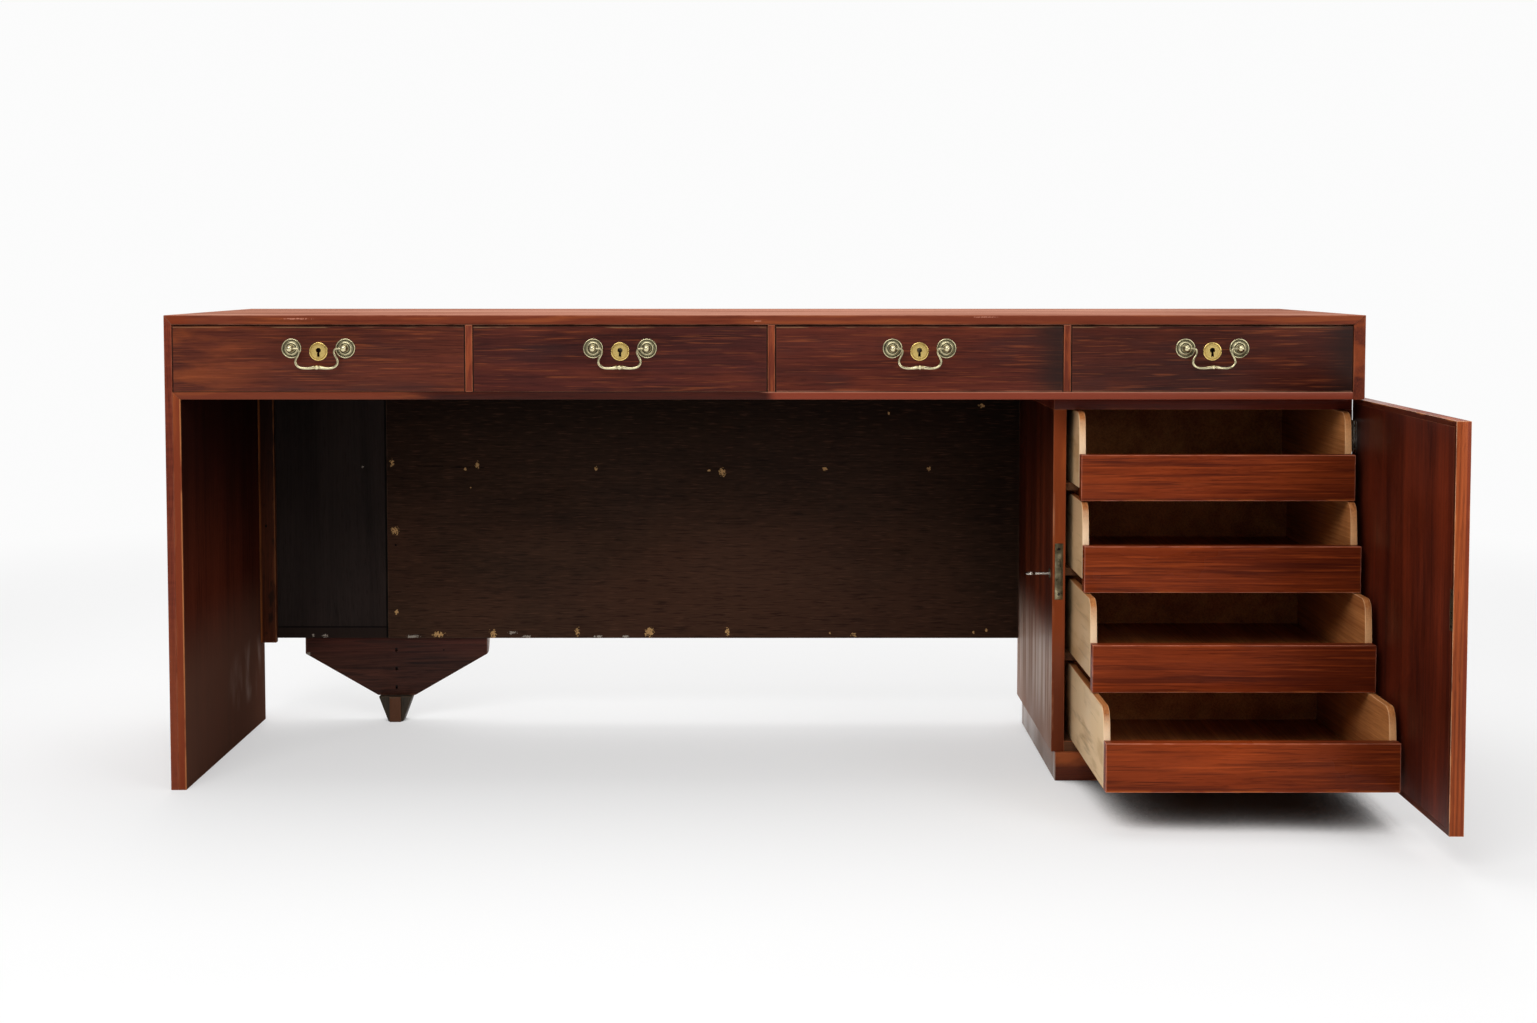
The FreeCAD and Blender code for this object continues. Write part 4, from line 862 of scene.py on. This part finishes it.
def dress_door():
    dress("door_panel", wood(
        "door_panel_finish", door_box("door_panel"), "Z", (54, 17, 9), (102, 37, 18),
        ribbon=0.8, streaks=0.8, clouds=0.5, gloss=0.4, rub=0.0, seed=70, on_door=True,
        # Darker toward the pin edge: painted shade beside the hinge.
        washes=[wash((30, 12, 8), 0.8, ("X", -0.09, -0.02)),
                wash((40, 13, 8), 0.5, ("Z", 0.5, 0.62)),
                wash((40, 13, 8), 0.35, scales=(190, 40, 2), fade=(0.52, 0.7))]))
    dress("door_lipping", wood(
        "door_lipping_finish", door_box("door_lipping"), "Z", (98, 40, 17), (166, 80, 38),
        ribbon=0.7, streaks=0.9, gloss=0.4, rub=0.6, reach=0.002, seed=71, on_door=True,
        washes=[wash((116, 44, 24), 0.7, ("Y", -0.012, -0.0145)),
                wash((54, 18, 10), 0.9, ("Y", 0.0004, 0.0014))],
        worn=(186, 110, 62), arris=(228, 178, 140), arris_share=0.7),
        width=0.4 * MM, chosen=on_door_outline)


# Brass, locks and screws

BRASS = metal("old_brass_finish", (200, 190, 152), (82, 78, 58), (48, 48, 36),
              rub_from="shine", patches=0.2, bump=0.04)
GOLDEN_BRASS = metal("golden_brass_finish", (224, 194, 118), (172, 142, 76), (104, 84, 46),
                     rub_from="shine", patches=0.5, bump=0.05)
LOCK_METAL = metal("lock_metal_finish", (150, 140, 112), (84, 76, 58), (44, 36, 26),
                   rubbed=0.35)
KEY_STEEL = metal("key_steel_finish", (206, 200, 190), (120, 112, 100), (74, 58, 42),
                  rubbed=0.6)
DARK_IRON = metal("dark_iron_finish", (96, 88, 78), (40, 34, 30), (28, 20, 16), rubbed=0.3)

TURNED_SIDES, NUT_SIDES = 48, 6
SMOOTH_METAL_BELOW = math.radians(40)


def new_turning():
    """An empty mesh and its layer for how much each point is rubbed."""
    work = bmesh.new()
    return work, work.verts.layers.float.new("shine")


def angles(sides):
    return [2 * math.pi * side / sides for side in range(sides)]


def add_ring(work, shine, places, rub):
    ring = [work.verts.new(place) for place in places]
    for vert in ring:
        vert[shine] = rub
    return ring


def skin(work, rings, others):
    """Faces between each ring and the ring beside it in the other list."""
    for first, second in zip(rings, others):
        for side in range(len(first)):
            after = (side + 1) % len(first)
            work.faces.new((first[side], first[after], second[after], second[side]))


def turned(work, shine, centre, outline, sides=TURNED_SIDES):
    """A shape turned about the line from centre towards -Y, from radius, rise and shine."""
    rings = []
    for radius, rise, rub in outline:
        rings.append(add_ring(work, shine, [
            (centre.x + radius * math.cos(angle), centre.y - rise,
             centre.z + radius * math.sin(angle)) for angle in angles(sides)], rub))
    skin(work, rings, rings[1:])
    work.faces.new(rings[0][::-1])
    work.faces.new(rings[-1])


def finish_turned(work, name):
    bmesh.ops.recalc_face_normals(work, faces=work.faces)
    mesh = bpy.data.meshes.new(name)
    work.to_mesh(mesh)
    work.free()
    for face in mesh.polygons:
        face.use_smooth = True
    mesh.set_sharp_from_angle(angle=SMOOTH_METAL_BELOW)
    return mesh


def arc(centre_rise, radius, start, end, steps, rub_low, rub_high):
    """Points of a ball's outline from the start angle to the end angle, from the base up."""
    points = []
    for step in range(steps + 1):
        share = step / steps
        angle = math.radians(start + (end - start) * share)
        points.append((radius * math.cos(angle), centre_rise + radius * math.sin(angle),
                       rub_low + (rub_high - rub_low) * share))
    return points


ROSETTE_OUTLINE_MM = [
    # radius, rise above the drawer front, shine
    (15.2, 0.0, 0.3), (15.2, 0.9, 0.7), (14.9, 1.4, 0.95), (14.3, 1.65, 1.0), (13.6, 1.5, 0.8),
    (13.1, 1.0, 0.15), (12.4, 0.95, 0.1), (11.6, 1.15, 0.25), (10.7, 1.6, 0.4), (9.9, 2.3, 0.6),
    (9.4, 3.0, 0.9), (8.9, 3.35, 1.0), (8.2, 3.35, 0.8), (7.7, 3.0, 0.15), (7.1, 3.0, 0.1),
    (6.5, 3.3, 0.4), (5.7, 4.3, 0.6), (4.9, 5.7, 0.6), (4.3, 7.0, 0.4), (4.1, 7.8, 0.2)]
BALL_RISE, BALL_RADIUS = 13 * MM, 5.6 * MM
POST_HALF_SPACING = 41.5 * MM


def handle_places(number):
    """The bail's pin, and where the two posts meet the drawer front."""
    pin = Vector(JOINTS["bail_%d_swing" % number]["pos_m"])
    return pin, [Vector((pin.x + side * POST_HALF_SPACING, DRAWER_FACE, pin.z))
                 for side in (-1, 1)]


def dress_rosettes(number):
    _, places = handle_places(number)
    node = "handle_%d_plates" % number
    inner_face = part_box("drawer_%d_front" % number)[1].y
    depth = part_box(node)[1].y - inner_face
    work, shine = new_turning()
    for place in places:
        outline = [(radius * MM, rise * MM, rub) for radius, rise, rub in ROSETTE_OUTLINE_MM]
        outline += arc(BALL_RISE, BALL_RADIUS, -46, 84, 16, 0.2, 1.0)
        turned(work, shine, place, outline)
        turned(work, shine, Vector((place.x, inner_face, place.z)), [
            (5 * MM, 0.0, 0.3), (5 * MM, -depth * 0.8, 0.5), (4.4 * MM, -depth, 0.6),
            (2.3 * MM, -depth, 0.4), (2.2 * MM, -depth + 0.4 * MM, 0.4)], NUT_SIDES)
    mesh = finish_turned(work, "rosettes_%d" % number)
    show("rosettes_%d" % number, mesh, "drawer_%d" % number, BRASS, (node,))


BAIL_LINE_MM = [
    # half of the bail seen from the front: across from its middle, drop, wire radius
    (41.5, 0.0, 1.6), (36.0, 0.0, 1.6), (31.2, -0.1, 1.6), (28.4, -1.0, 1.6), (27.0, -3.4, 1.6),
    (27.0, -6.4, 1.6), (28.3, -10.2, 1.65), (30.4, -13.8, 1.75), (32.0, -17.4, 1.9),
    (32.4, -20.8, 2.0), (31.2, -24.4, 2.05), (28.2, -27.6, 2.0), (23.4, -29.6, 1.95),
    (17.6, -30.2, 2.0), (12.4, -30.0, 2.2), (8.6, -29.5, 2.55), (6.0, -29.1, 2.8)]
BAIL_SIDES = 20
# The ring in the bail's middle and the bead at each side of it, in millimetres
BEAD_REACH, BEAD_STEPS, BEAD_DROP = 5.6, 36, -29.05
RING_RADIUS, RING_CURVE, RING_HALF_WIDTH = 3.55, 0.12, 2.6
BEAD_RADIUS, BEAD_CURVE, BEAD_OFFSET = 3.3, 1.1, 4.2
GROOVE_RADIUS = 2.45
# The bar's radius where it shines least and most, and how much it shines there
DULL_RADIUS, BRIGHT_RADIUS, LEAST_SHINE, MOST_SHINE = 1.5 * MM, 3.4 * MM, 0.55, 1.0


def smooth_line(points, steps):
    """Points of a smooth curve through the given ones."""
    line = []
    for index in range(len(points) - 1):
        before = points[max(index - 1, 0)]
        start, end = points[index], points[index + 1]
        after = points[min(index + 2, len(points) - 1)]
        for step in range(steps):
            share = step / steps
            line.append(tuple(
                0.5 * (2 * b + (c - a) * share + (2 * a - 5 * b + 4 * c - d) * share ** 2
                       + (3 * b - a - 3 * c + d) * share ** 3)
                for a, b, c, d in zip(before, start, end, after)))
    line.append(points[-1])
    return line


def bead_radius(across):
    """The bar's radius near its middle: the ring, the two beads and the grooves between."""
    ring = RING_RADIUS - RING_CURVE * across * across if abs(across) < RING_HALF_WIDTH else 0
    bead = BEAD_RADIUS - BEAD_CURVE * (abs(across) - BEAD_OFFSET) ** 2
    return max(ring, bead, GROOVE_RADIUS)


def bail_stations():
    """Across, drop and radius along the whole bail, in millimetres."""
    side = smooth_line(BAIL_LINE_MM, 4)
    middle = []
    for step in range(BEAD_STEPS + 1):
        across = BEAD_REACH - 2 * BEAD_REACH * step / BEAD_STEPS
        middle.append((across, BEAD_DROP, bead_radius(across)))
    return side + middle + [(-across, drop, radius) for across, drop, radius in reversed(side)]


def bail_tree():
    """Geometry Nodes that draw a round bar along a curve, as thick as the curve's own radius."""
    tree, bench, take, give = new_tree(
        "drawn_bail",
        [("Line", GEOMETRY, None), ("Sides", WHOLE, BAIL_SIDES), ("Thickness", NUMBER, 1.0),
         ("Brass", MATERIAL, None)],
        [("Bar", GEOMETRY)], "GeometryNodeTree")
    ring = bench.make("GeometryNodeCurvePrimitiveCircle", {
        "Resolution": take["Sides"], "Radius": take["Thickness"]})
    radius = bench.add("GeometryNodeInputRadius").outputs[0]
    shine = bench.make("ShaderNodeMapRange", {
        "Value": radius, "From Min": DULL_RADIUS, "From Max": BRIGHT_RADIUS,
        "To Min": LEAST_SHINE, "To Max": MOST_SHINE})
    line = bench.make("GeometryNodeStoreNamedAttribute", {
        "Geometry": take["Line"], "Name": "shine", "Value": shine},
        data_type="FLOAT", domain="POINT")
    bar = bench.make("GeometryNodeCurveToMesh", {
        "Curve": line, "Profile Curve": ring, "Scale": radius, "Fill Caps": True})
    real = bench.make("GeometryNodeRealizeInstances", {0: bar})
    smooth = bench.make("GeometryNodeSetShadeSmooth", {"Geometry": real})
    bench.put(give["Bar"], bench.make("GeometryNodeSetMaterial", {
        "Geometry": smooth, "Material": take["Brass"]}))
    return tree


def grow(base, tree, values):
    """Runs a tree on a base object and gives back the plain mesh."""
    modifier = base.modifiers.new("tree", "NODES")
    modifier.node_group = tree
    for item in tree.interface.items_tree:
        if item.item_type == "SOCKET" and item.in_out == "INPUT" and item.name in values:
            modifier[item.identifier] = values[item.name]
    base.update_tag()
    return plain_mesh(base)


def dress_bail(number, tree):
    pin, _ = handle_places(number)
    curve = bpy.data.curves.new("bail_line", "CURVE")
    curve.dimensions = "3D"
    stations = bail_stations()
    spline = curve.splines.new("POLY")
    spline.points.add(len(stations) - 1)
    for point, (across, drop, radius) in zip(spline.points, stations):
        point.co = (pin.x - across * MM, pin.y, pin.z + drop * MM, 1.0)
        point.radius = radius * MM
    mesh = grow(stand("bail_line", curve), tree, {
        "Sides": BAIL_SIDES, "Thickness": 1.0, "Brass": BRASS})
    show("bail_%d_drawn" % number, mesh, "bail_%d" % number, BRASS,
         ("handle_%d_bail" % number,))


# The escutcheon and its keyhole, in millimetres
ESCUTCHEON_SIDES, ESCUTCHEON_RADIUS, RIM_INSIDE = 144, 14.3, 12.4
NOTCH_DEPTH, NOTCH_SPREAD = 1.1, 0.09
PLATE_DROP = 1.8
KEYHOLE_RADIUS = 3.8
SLOT_DROP, SLOT_HALF_WIDTH, SLOT_FLARE, SLOT_SPREAD = 9.9, 1.35, 0.075, 1.2
ESCUTCHEON_OUTLINE_MM = [
    # ring about the plate's middle or past the keyhole's edge, reach, rise, shine
    ("hole", 0.0, -1.4, 0.1), ("hole", 0.0, 1.0, 0.4), ("hole", 0.35, 1.35, 0.8),
    ("ring", 10.6, 1.45, 0.6), ("ring", 11.4, 1.4, 0.5), ("ring", 11.7, 1.05, 0.0),
    ("ring", 12.1, 1.05, 0.0), ("ring", 12.4, 1.4, 0.7), ("ring", 13.5, 1.42, 0.8),
    ("ring", ESCUTCHEON_RADIUS - 0.25, 1.2, 1.0), ("ring", ESCUTCHEON_RADIUS, 0.8, 0.7),
    ("ring", ESCUTCHEON_RADIUS, 0.0, 0.2)]


def keyhole_reach(angle):
    """How far the keyhole's edge is from its round centre at this angle."""
    down = (angle + math.pi / 2 + math.pi) % (2 * math.pi) - math.pi
    if abs(down) > SLOT_SPREAD:
        return KEYHOLE_RADIUS
    side = SLOT_HALF_WIDTH / max(abs(math.sin(down)) - SLOT_FLARE * math.cos(down), 1e-4)
    end = SLOT_DROP / math.cos(down)
    return max(KEYHOLE_RADIUS, min(side, end))


def escutcheon(work, shine, centre):
    """A round plate with its keyhole, a rim line and a notch at each side."""
    rings = []
    for kind, reach, rise, rub in ESCUTCHEON_OUTLINE_MM:
        on_rim = max(0.0, (reach - RIM_INSIDE) / (ESCUTCHEON_RADIUS - RIM_INSIDE))
        places = []
        for angle in angles(ESCUTCHEON_SIDES):
            if kind == "hole":
                radius, drop = keyhole_reach(angle) + reach, 0.0
            else:
                notch = NOTCH_DEPTH * max(0.0, 1.0 - abs(math.sin(angle)) / NOTCH_SPREAD)
                radius, drop = reach - notch * on_rim, PLATE_DROP
            places.append((centre.x + radius * MM * math.cos(angle), centre.y - rise * MM,
                           centre.z + (radius * math.sin(angle) - drop) * MM))
        rings.append(add_ring(work, shine, places, rub))
    skin(work, rings, rings[1:] + rings[:1])


def dress_drawer_lock(number):
    """The lock case behind the front, the escutcheon on it, and the bolt."""
    pin, _ = handle_places(number)
    node, body = "lock_%d" % number, "drawer_%d" % number
    work = merged(node)
    disc = [vert for vert in work.verts if vert.co.y < DRAWER_FACE + 0.2 * MM]
    bmesh.ops.delete(work, geom=disc, context="VERTS")
    case = ease(work, 0.4 * MM)
    show("lock_case_%d" % number, case, body, LOCK_METAL, (node,))
    work, shine = new_turning()
    escutcheon(work, shine, Vector((pin.x, DRAWER_FACE, KEYHOLE_HEIGHT)))
    mesh = finish_turned(work, "escutcheon_%d" % number)
    show("escutcheon_%d" % number, mesh, body, GOLDEN_BRASS, (node,))
    dress("lock_%d_bolt" % number, LOCK_METAL, 0.3 * MM)


SCREW_SIDES = 24
HEAD_TAPER, SLOT_SHARE, SLOT_DEPTH_SHARE = 0.8, 0.28, 0.6


def screw_tree():
    """Geometry Nodes that set a slotted screw head on each point, facing its normal."""
    tree, bench, take, give = new_tree(
        "slotted_screws",
        [("Points", GEOMETRY, None), ("Head Radius", NUMBER, 3 * MM),
         ("Head Height", NUMBER, 0.8 * MM), ("Slot Width", NUMBER, 0.7 * MM),
         ("Slot Depth", NUMBER, 0.6 * MM), ("Metal", MATERIAL, None)],
        [("Screws", GEOMETRY)], "GeometryNodeTree")
    radius, height = take["Head Radius"], take["Head Height"]
    head = bench.make("GeometryNodeMeshCone", {
        "Vertices": SCREW_SIDES, "Radius Bottom": radius,
        "Radius Top": bench.calc("MULTIPLY", radius, HEAD_TAPER), "Depth": height},
        "Mesh", fill_type="NGON")
    slot = bench.make("GeometryNodeMeshCube", {"Size": bench.join(
        bench.calc("MULTIPLY", radius, 3.0), take["Slot Width"],
        bench.calc("MULTIPLY", take["Slot Depth"], 2.0))}, "Mesh")
    lift = bench.make("GeometryNodeTransform", {
        "Geometry": slot, "Translation": bench.join(z=height)})
    carve = bench.make(
        "GeometryNodeMeshBoolean", {0: head, 1: lift}, "Mesh", operation="DIFFERENCE")
    facing = bench.make("GeometryNodeInputNamedAttribute", {"Name": "facing"}, "Attribute",
                        data_type="FLOAT_VECTOR")
    twist = bench.make("GeometryNodeInputNamedAttribute", {"Name": "twist"}, "Attribute",
                       data_type="FLOAT")
    face = bench.make("FunctionNodeAlignRotationToVector", {"Vector": facing}, axis="Z")
    about = bench.make("FunctionNodeAxisAngleToRotation", {
        "Axis": (0.0, 0.0, 1.0), "Angle": twist})
    spin = bench.make("FunctionNodeRotateRotation", {"Rotation": face, "Rotate By": about},
                      rotation_space="LOCAL")
    each = bench.make("GeometryNodeInstanceOnPoints", {
        "Points": take["Points"], "Instance": carve, "Rotation": spin})
    real = bench.make("GeometryNodeRealizeInstances", {0: each})
    bench.put(give["Screws"], bench.make("GeometryNodeSetMaterial", {
        "Geometry": real, "Material": take["Metal"]}))
    return tree


def set_screws(name, tree, places, body, head_radius, head_height):
    """Screws at places, each a point, the way it faces and its slot's turn."""
    mesh = bpy.data.meshes.new(name)
    mesh.from_pydata([tuple(point) for point, _, _ in places], [], [])
    mesh.attributes.new("facing", "FLOAT_VECTOR", "POINT")
    mesh.attributes.new("twist", "FLOAT", "POINT")
    # Fetched only now: a new attribute moves the ones made before it
    facing, twist = mesh.attributes["facing"], mesh.attributes["twist"]
    for index, (_, way, turn) in enumerate(places):
        facing.data[index].vector = way
        twist.data[index].value = turn
    result = grow(stand(name, mesh), tree, {
        "Head Radius": head_radius, "Head Height": head_height,
        "Slot Width": SLOT_SHARE * head_radius, "Slot Depth": SLOT_DEPTH_SHARE * head_height,
        "Metal": DARK_IRON})
    show(name, result, body, DARK_IRON)


def on_door(across, out, height):
    """A point given as if the door were shut, measured from its pin, put where the door stands."""
    moved = Matrix.Rotation(DOOR_ANGLE, 3, "Z") @ Vector((across, out, 0))
    return Vector((DOOR_PIN.x + moved.x, DOOR_PIN.y + moved.y, height))


HINGE_HEIGHTS = (0.549, 0.110)
FACEPLATE_MIDDLE = 333 * MM
TOWARD_FRONT = (0.0, -1.0, 0.0)
# From a plate's middle up or down to its screws
FACEPLATE_SCREW, STRIKE_SCREW, LEAF_SCREW = 36 * MM, 22 * MM, 17 * MM
# From the pin to the screws in the door's leaves, and from the case's side to the others
DOOR_LEAF_SCREW, FRAME_LEAF_SCREW = 13 * MM, 5 * MM
SCREW_SUNK = 0.3 * MM


def dress_locks_and_hinges(tree):
    for node in ("pedestal_lock", "pedestal_lock_bolt", "strike_plate"):
        dress(node, LOCK_METAL, 0.35 * MM)
    for node in ("door_hinge_leaves", "frame_hinge_leaves"):
        dress(node, KEY_STEEL, 0.25 * MM)
    low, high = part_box("pedestal_left_side")
    plate_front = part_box("pedestal_lock")[0].y + 0.35 * MM
    set_screws("faceplate_screws", tree, [
        (((low.x + high.x) / 2, plate_front, FACEPLATE_MIDDLE + side * FACEPLATE_SCREW),
         TOWARD_FRONT, 0.5 + side) for side in (-1, 1)], "desk", 2.6 * MM, 0.8 * MM)
    inward = on_door(0, 1, 0) - on_door(0, 0, 0)
    face = DOOR_INNER - SCREW_SUNK
    strike_low, strike_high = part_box("strike_plate")
    strike = (strike_low + strike_high) / 2
    across = (strike.y - DOOR_PIN.y) / math.sin(DOOR_ANGLE)
    door_places = [(on_door(across, face, strike.z + side * STRIKE_SCREW), inward, 0.4 + side)
                   for side in (-1, 1)]
    frame_places = []
    frame_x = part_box("case_right_side")[1].x - FRAME_LEAF_SCREW
    for height in HINGE_HEIGHTS:
        for z in (height - LEAF_SCREW, height + LEAF_SCREW):
            door_places.append((on_door(-DOOR_LEAF_SCREW, face, z), inward, z * 9))
            frame_places.append(((frame_x, low.y + SCREW_SUNK, z), TOWARD_FRONT, z * 7))
    set_screws("door_screws", tree, door_places, "door", 2.4 * MM, 0.7 * MM)
    set_screws("frame_hinge_screws", tree, frame_places, "desk", 2.2 * MM, 0.7 * MM)


def dress_brass():
    bails, screws = bail_tree(), screw_tree()
    for number in DRAWERS:
        dress_rosettes(number)
        dress_bail(number, bails)
        dress_drawer_lock(number)
    dress_locks_and_hinges(screws)
    dress("pedestal_key", KEY_STEEL, 0.2 * MM)


# Floor, light and camera

FLOOR_HALF = 30.0
WHITE_REACH_NEAR, WHITE_REACH_FAR = 1.7, 3.6
PAGE_WHITE = 0.97
FLOOR_LIFT = 0.45
CLOSE_SHADOW, SHADOW_SAMPLES = 0.2, 16
DEEP_SHADE, OPEN_FLOOR = 0.14, 0.49
FLOOR_PALE, FLOOR_SEEN = (0.8, 0.8, 0.8, 1.0), (0.47, 0.47, 0.47, 1.0)
FLOOR_SHADE_PAINTED = (0.08, 0.08, 0.08, 1.0)
ROOM_LIGHT, ROOM_BEHIND_CAMERA = 0.36, 0.25
LAMPS = [
    # name, place, what it shines at, width, height, power
    ("key", (-0.9, -2.6, 2.7), (0, 0, 0.4), 2.6, 1.6, 66),
    ("fill", (2.4, -2.4, 1.6), (0.2, 0, 0.4), 1.6, 1.6, 26),
    ("top", (0, 0.6, 2.8), (0, 0.1, 0.4), 3.2, 2.0, 46),
    ("back", (0, 2.6, 2.2), (0, 0.6, 0), 4.0, 1.6, 30)]


def lay_floor():
    """A pale floor that is the page's white to the camera, but for the desk's shadows on it:
    rendered shadow, and shade painted under the desk from ambient occlusion.
    """
    mesh = bpy.data.meshes.new("floor")
    corners = [(x * FLOOR_HALF, y * FLOOR_HALF, 0)
               for x, y in ((-1, -1), (1, -1), (1, 1), (-1, 1))]
    mesh.from_pydata(corners, [], [(0, 1, 2, 3)])
    floor = stand("floor", mesh)
    material = bpy.data.materials.new("pale_floor")
    material.use_nodes = True
    material.node_tree.nodes.clear()
    bench = Bench(material.node_tree)
    far = bench.vector("LENGTH", bench.object_place())
    away = bench.spread(far, WHITE_REACH_NEAR, WHITE_REACH_FAR)
    ray = bench.add("ShaderNodeLightPath").outputs
    seen = bench.calc("MAXIMUM", ray["Is Camera Ray"], bench.calc(
        "MAXIMUM", ray["Is Glossy Ray"], ray["Is Transmission Ray"]))
    # Where ambient occlusion finds the desk close above, the floor is darkened and loses its lift:
    # painted shade.
    clear = bench.make("ShaderNodeAmbientOcclusion", {"Distance": CLOSE_SHADOW}, "AO",
                       samples=SHADOW_SAMPLES)
    open_floor = bench.spread(clear, DEEP_SHADE, OPEN_FLOOR)
    shade = bench.tint(open_floor, FLOOR_SHADE_PAINTED, FLOOR_SEEN)
    matt = bench.make("ShaderNodeBsdfDiffuse", {
        "Color": bench.tint(ray["Is Camera Ray"], FLOOR_PALE, shade)})
    lift = bench.make("ShaderNodeEmission", {"Strength": bench.calc(
        "MULTIPLY", seen, bench.calc("MULTIPLY", open_floor, FLOOR_LIFT))})
    desk_floor = bench.make("ShaderNodeAddShader", {0: matt, 1: lift})
    page = bench.make("ShaderNodeEmission", {"Strength": PAGE_WHITE})
    whole = bench.make("ShaderNodeMixShader", {
        0: bench.calc("MULTIPLY", away, seen), 1: desk_floor, 2: page})
    bench.put(bench.add("ShaderNodeOutputMaterial").inputs["Surface"], whole)
    mesh.materials.append(material)


def light_room():
    """Even light, seen as the page's white by the camera and darker behind it in the brass."""
    world = bpy.data.worlds.new("studio")
    bpy.context.scene.world = world
    world.use_nodes = True
    bench = Bench(world.node_tree)
    background = world.node_tree.nodes["Background"]
    background.inputs["Color"].default_value = (1.0, 1.0, 1.0, 1.0)
    ray = bench.add("ShaderNodeLightPath").outputs
    way = bench.add("ShaderNodeTexCoord").outputs["Generated"]
    room = bench.spread(bench.split(way)[1], -0.7, 0.5, ROOM_BEHIND_CAMERA, PAGE_WHITE)
    shiny = bench.calc("MAXIMUM", ray["Is Glossy Ray"], ray["Is Transmission Ray"])
    lift = bench.calc("MULTIPLY", shiny, bench.calc("SUBTRACT", room, ROOM_LIGHT))
    page = bench.calc("MULTIPLY", ray["Is Camera Ray"], PAGE_WHITE - ROOM_LIGHT)
    bench.put(background.inputs["Strength"],
              bench.calc("ADD", ROOM_LIGHT, bench.calc("ADD", lift, page)))


def light_lamps():
    for name, place, target, width, height, power in LAMPS:
        lamp = bpy.data.lights.new(name, "AREA")
        lamp.shape = "RECTANGLE"
        lamp.size, lamp.size_y = width, height
        lamp.energy = power
        piece = stand(name, lamp)
        piece.location = place
        aim = Vector(target) - Vector(place)
        piece.rotation_euler = aim.to_track_quat("-Z", "Y").to_euler()


LENS_MM, SENSOR_MM = 44.31, 36.0
CAMERA_PLACE = (-0.009739, -2.954544, 0.8085)
CAMERA_TILT = 3.008
SHIFT_X, SHIFT_Y = 0.002524, -0.09203


def set_camera():
    camera = bpy.data.cameras.new("camera")
    camera.lens, camera.sensor_width = LENS_MM, SENSOR_MM
    camera.shift_x, camera.shift_y = SHIFT_X, SHIFT_Y
    piece = stand("camera", camera)
    piece.location = CAMERA_PLACE
    piece.rotation_euler = (math.radians(90 - CAMERA_TILT), 0, 0)
    bpy.context.scene.camera = piece


dress_case()
dress_kneehole()
dress_pedestal()
for tray_number in TRAYS:
    dress_tray(tray_number)
for drawer_number in DRAWERS:
    dress_drawer(drawer_number)
dress_door()
dress_brass()
lay_floor()
light_room()
light_lamps()
set_camera()
bpy.context.scene.view_settings.view_transform = "Standard"
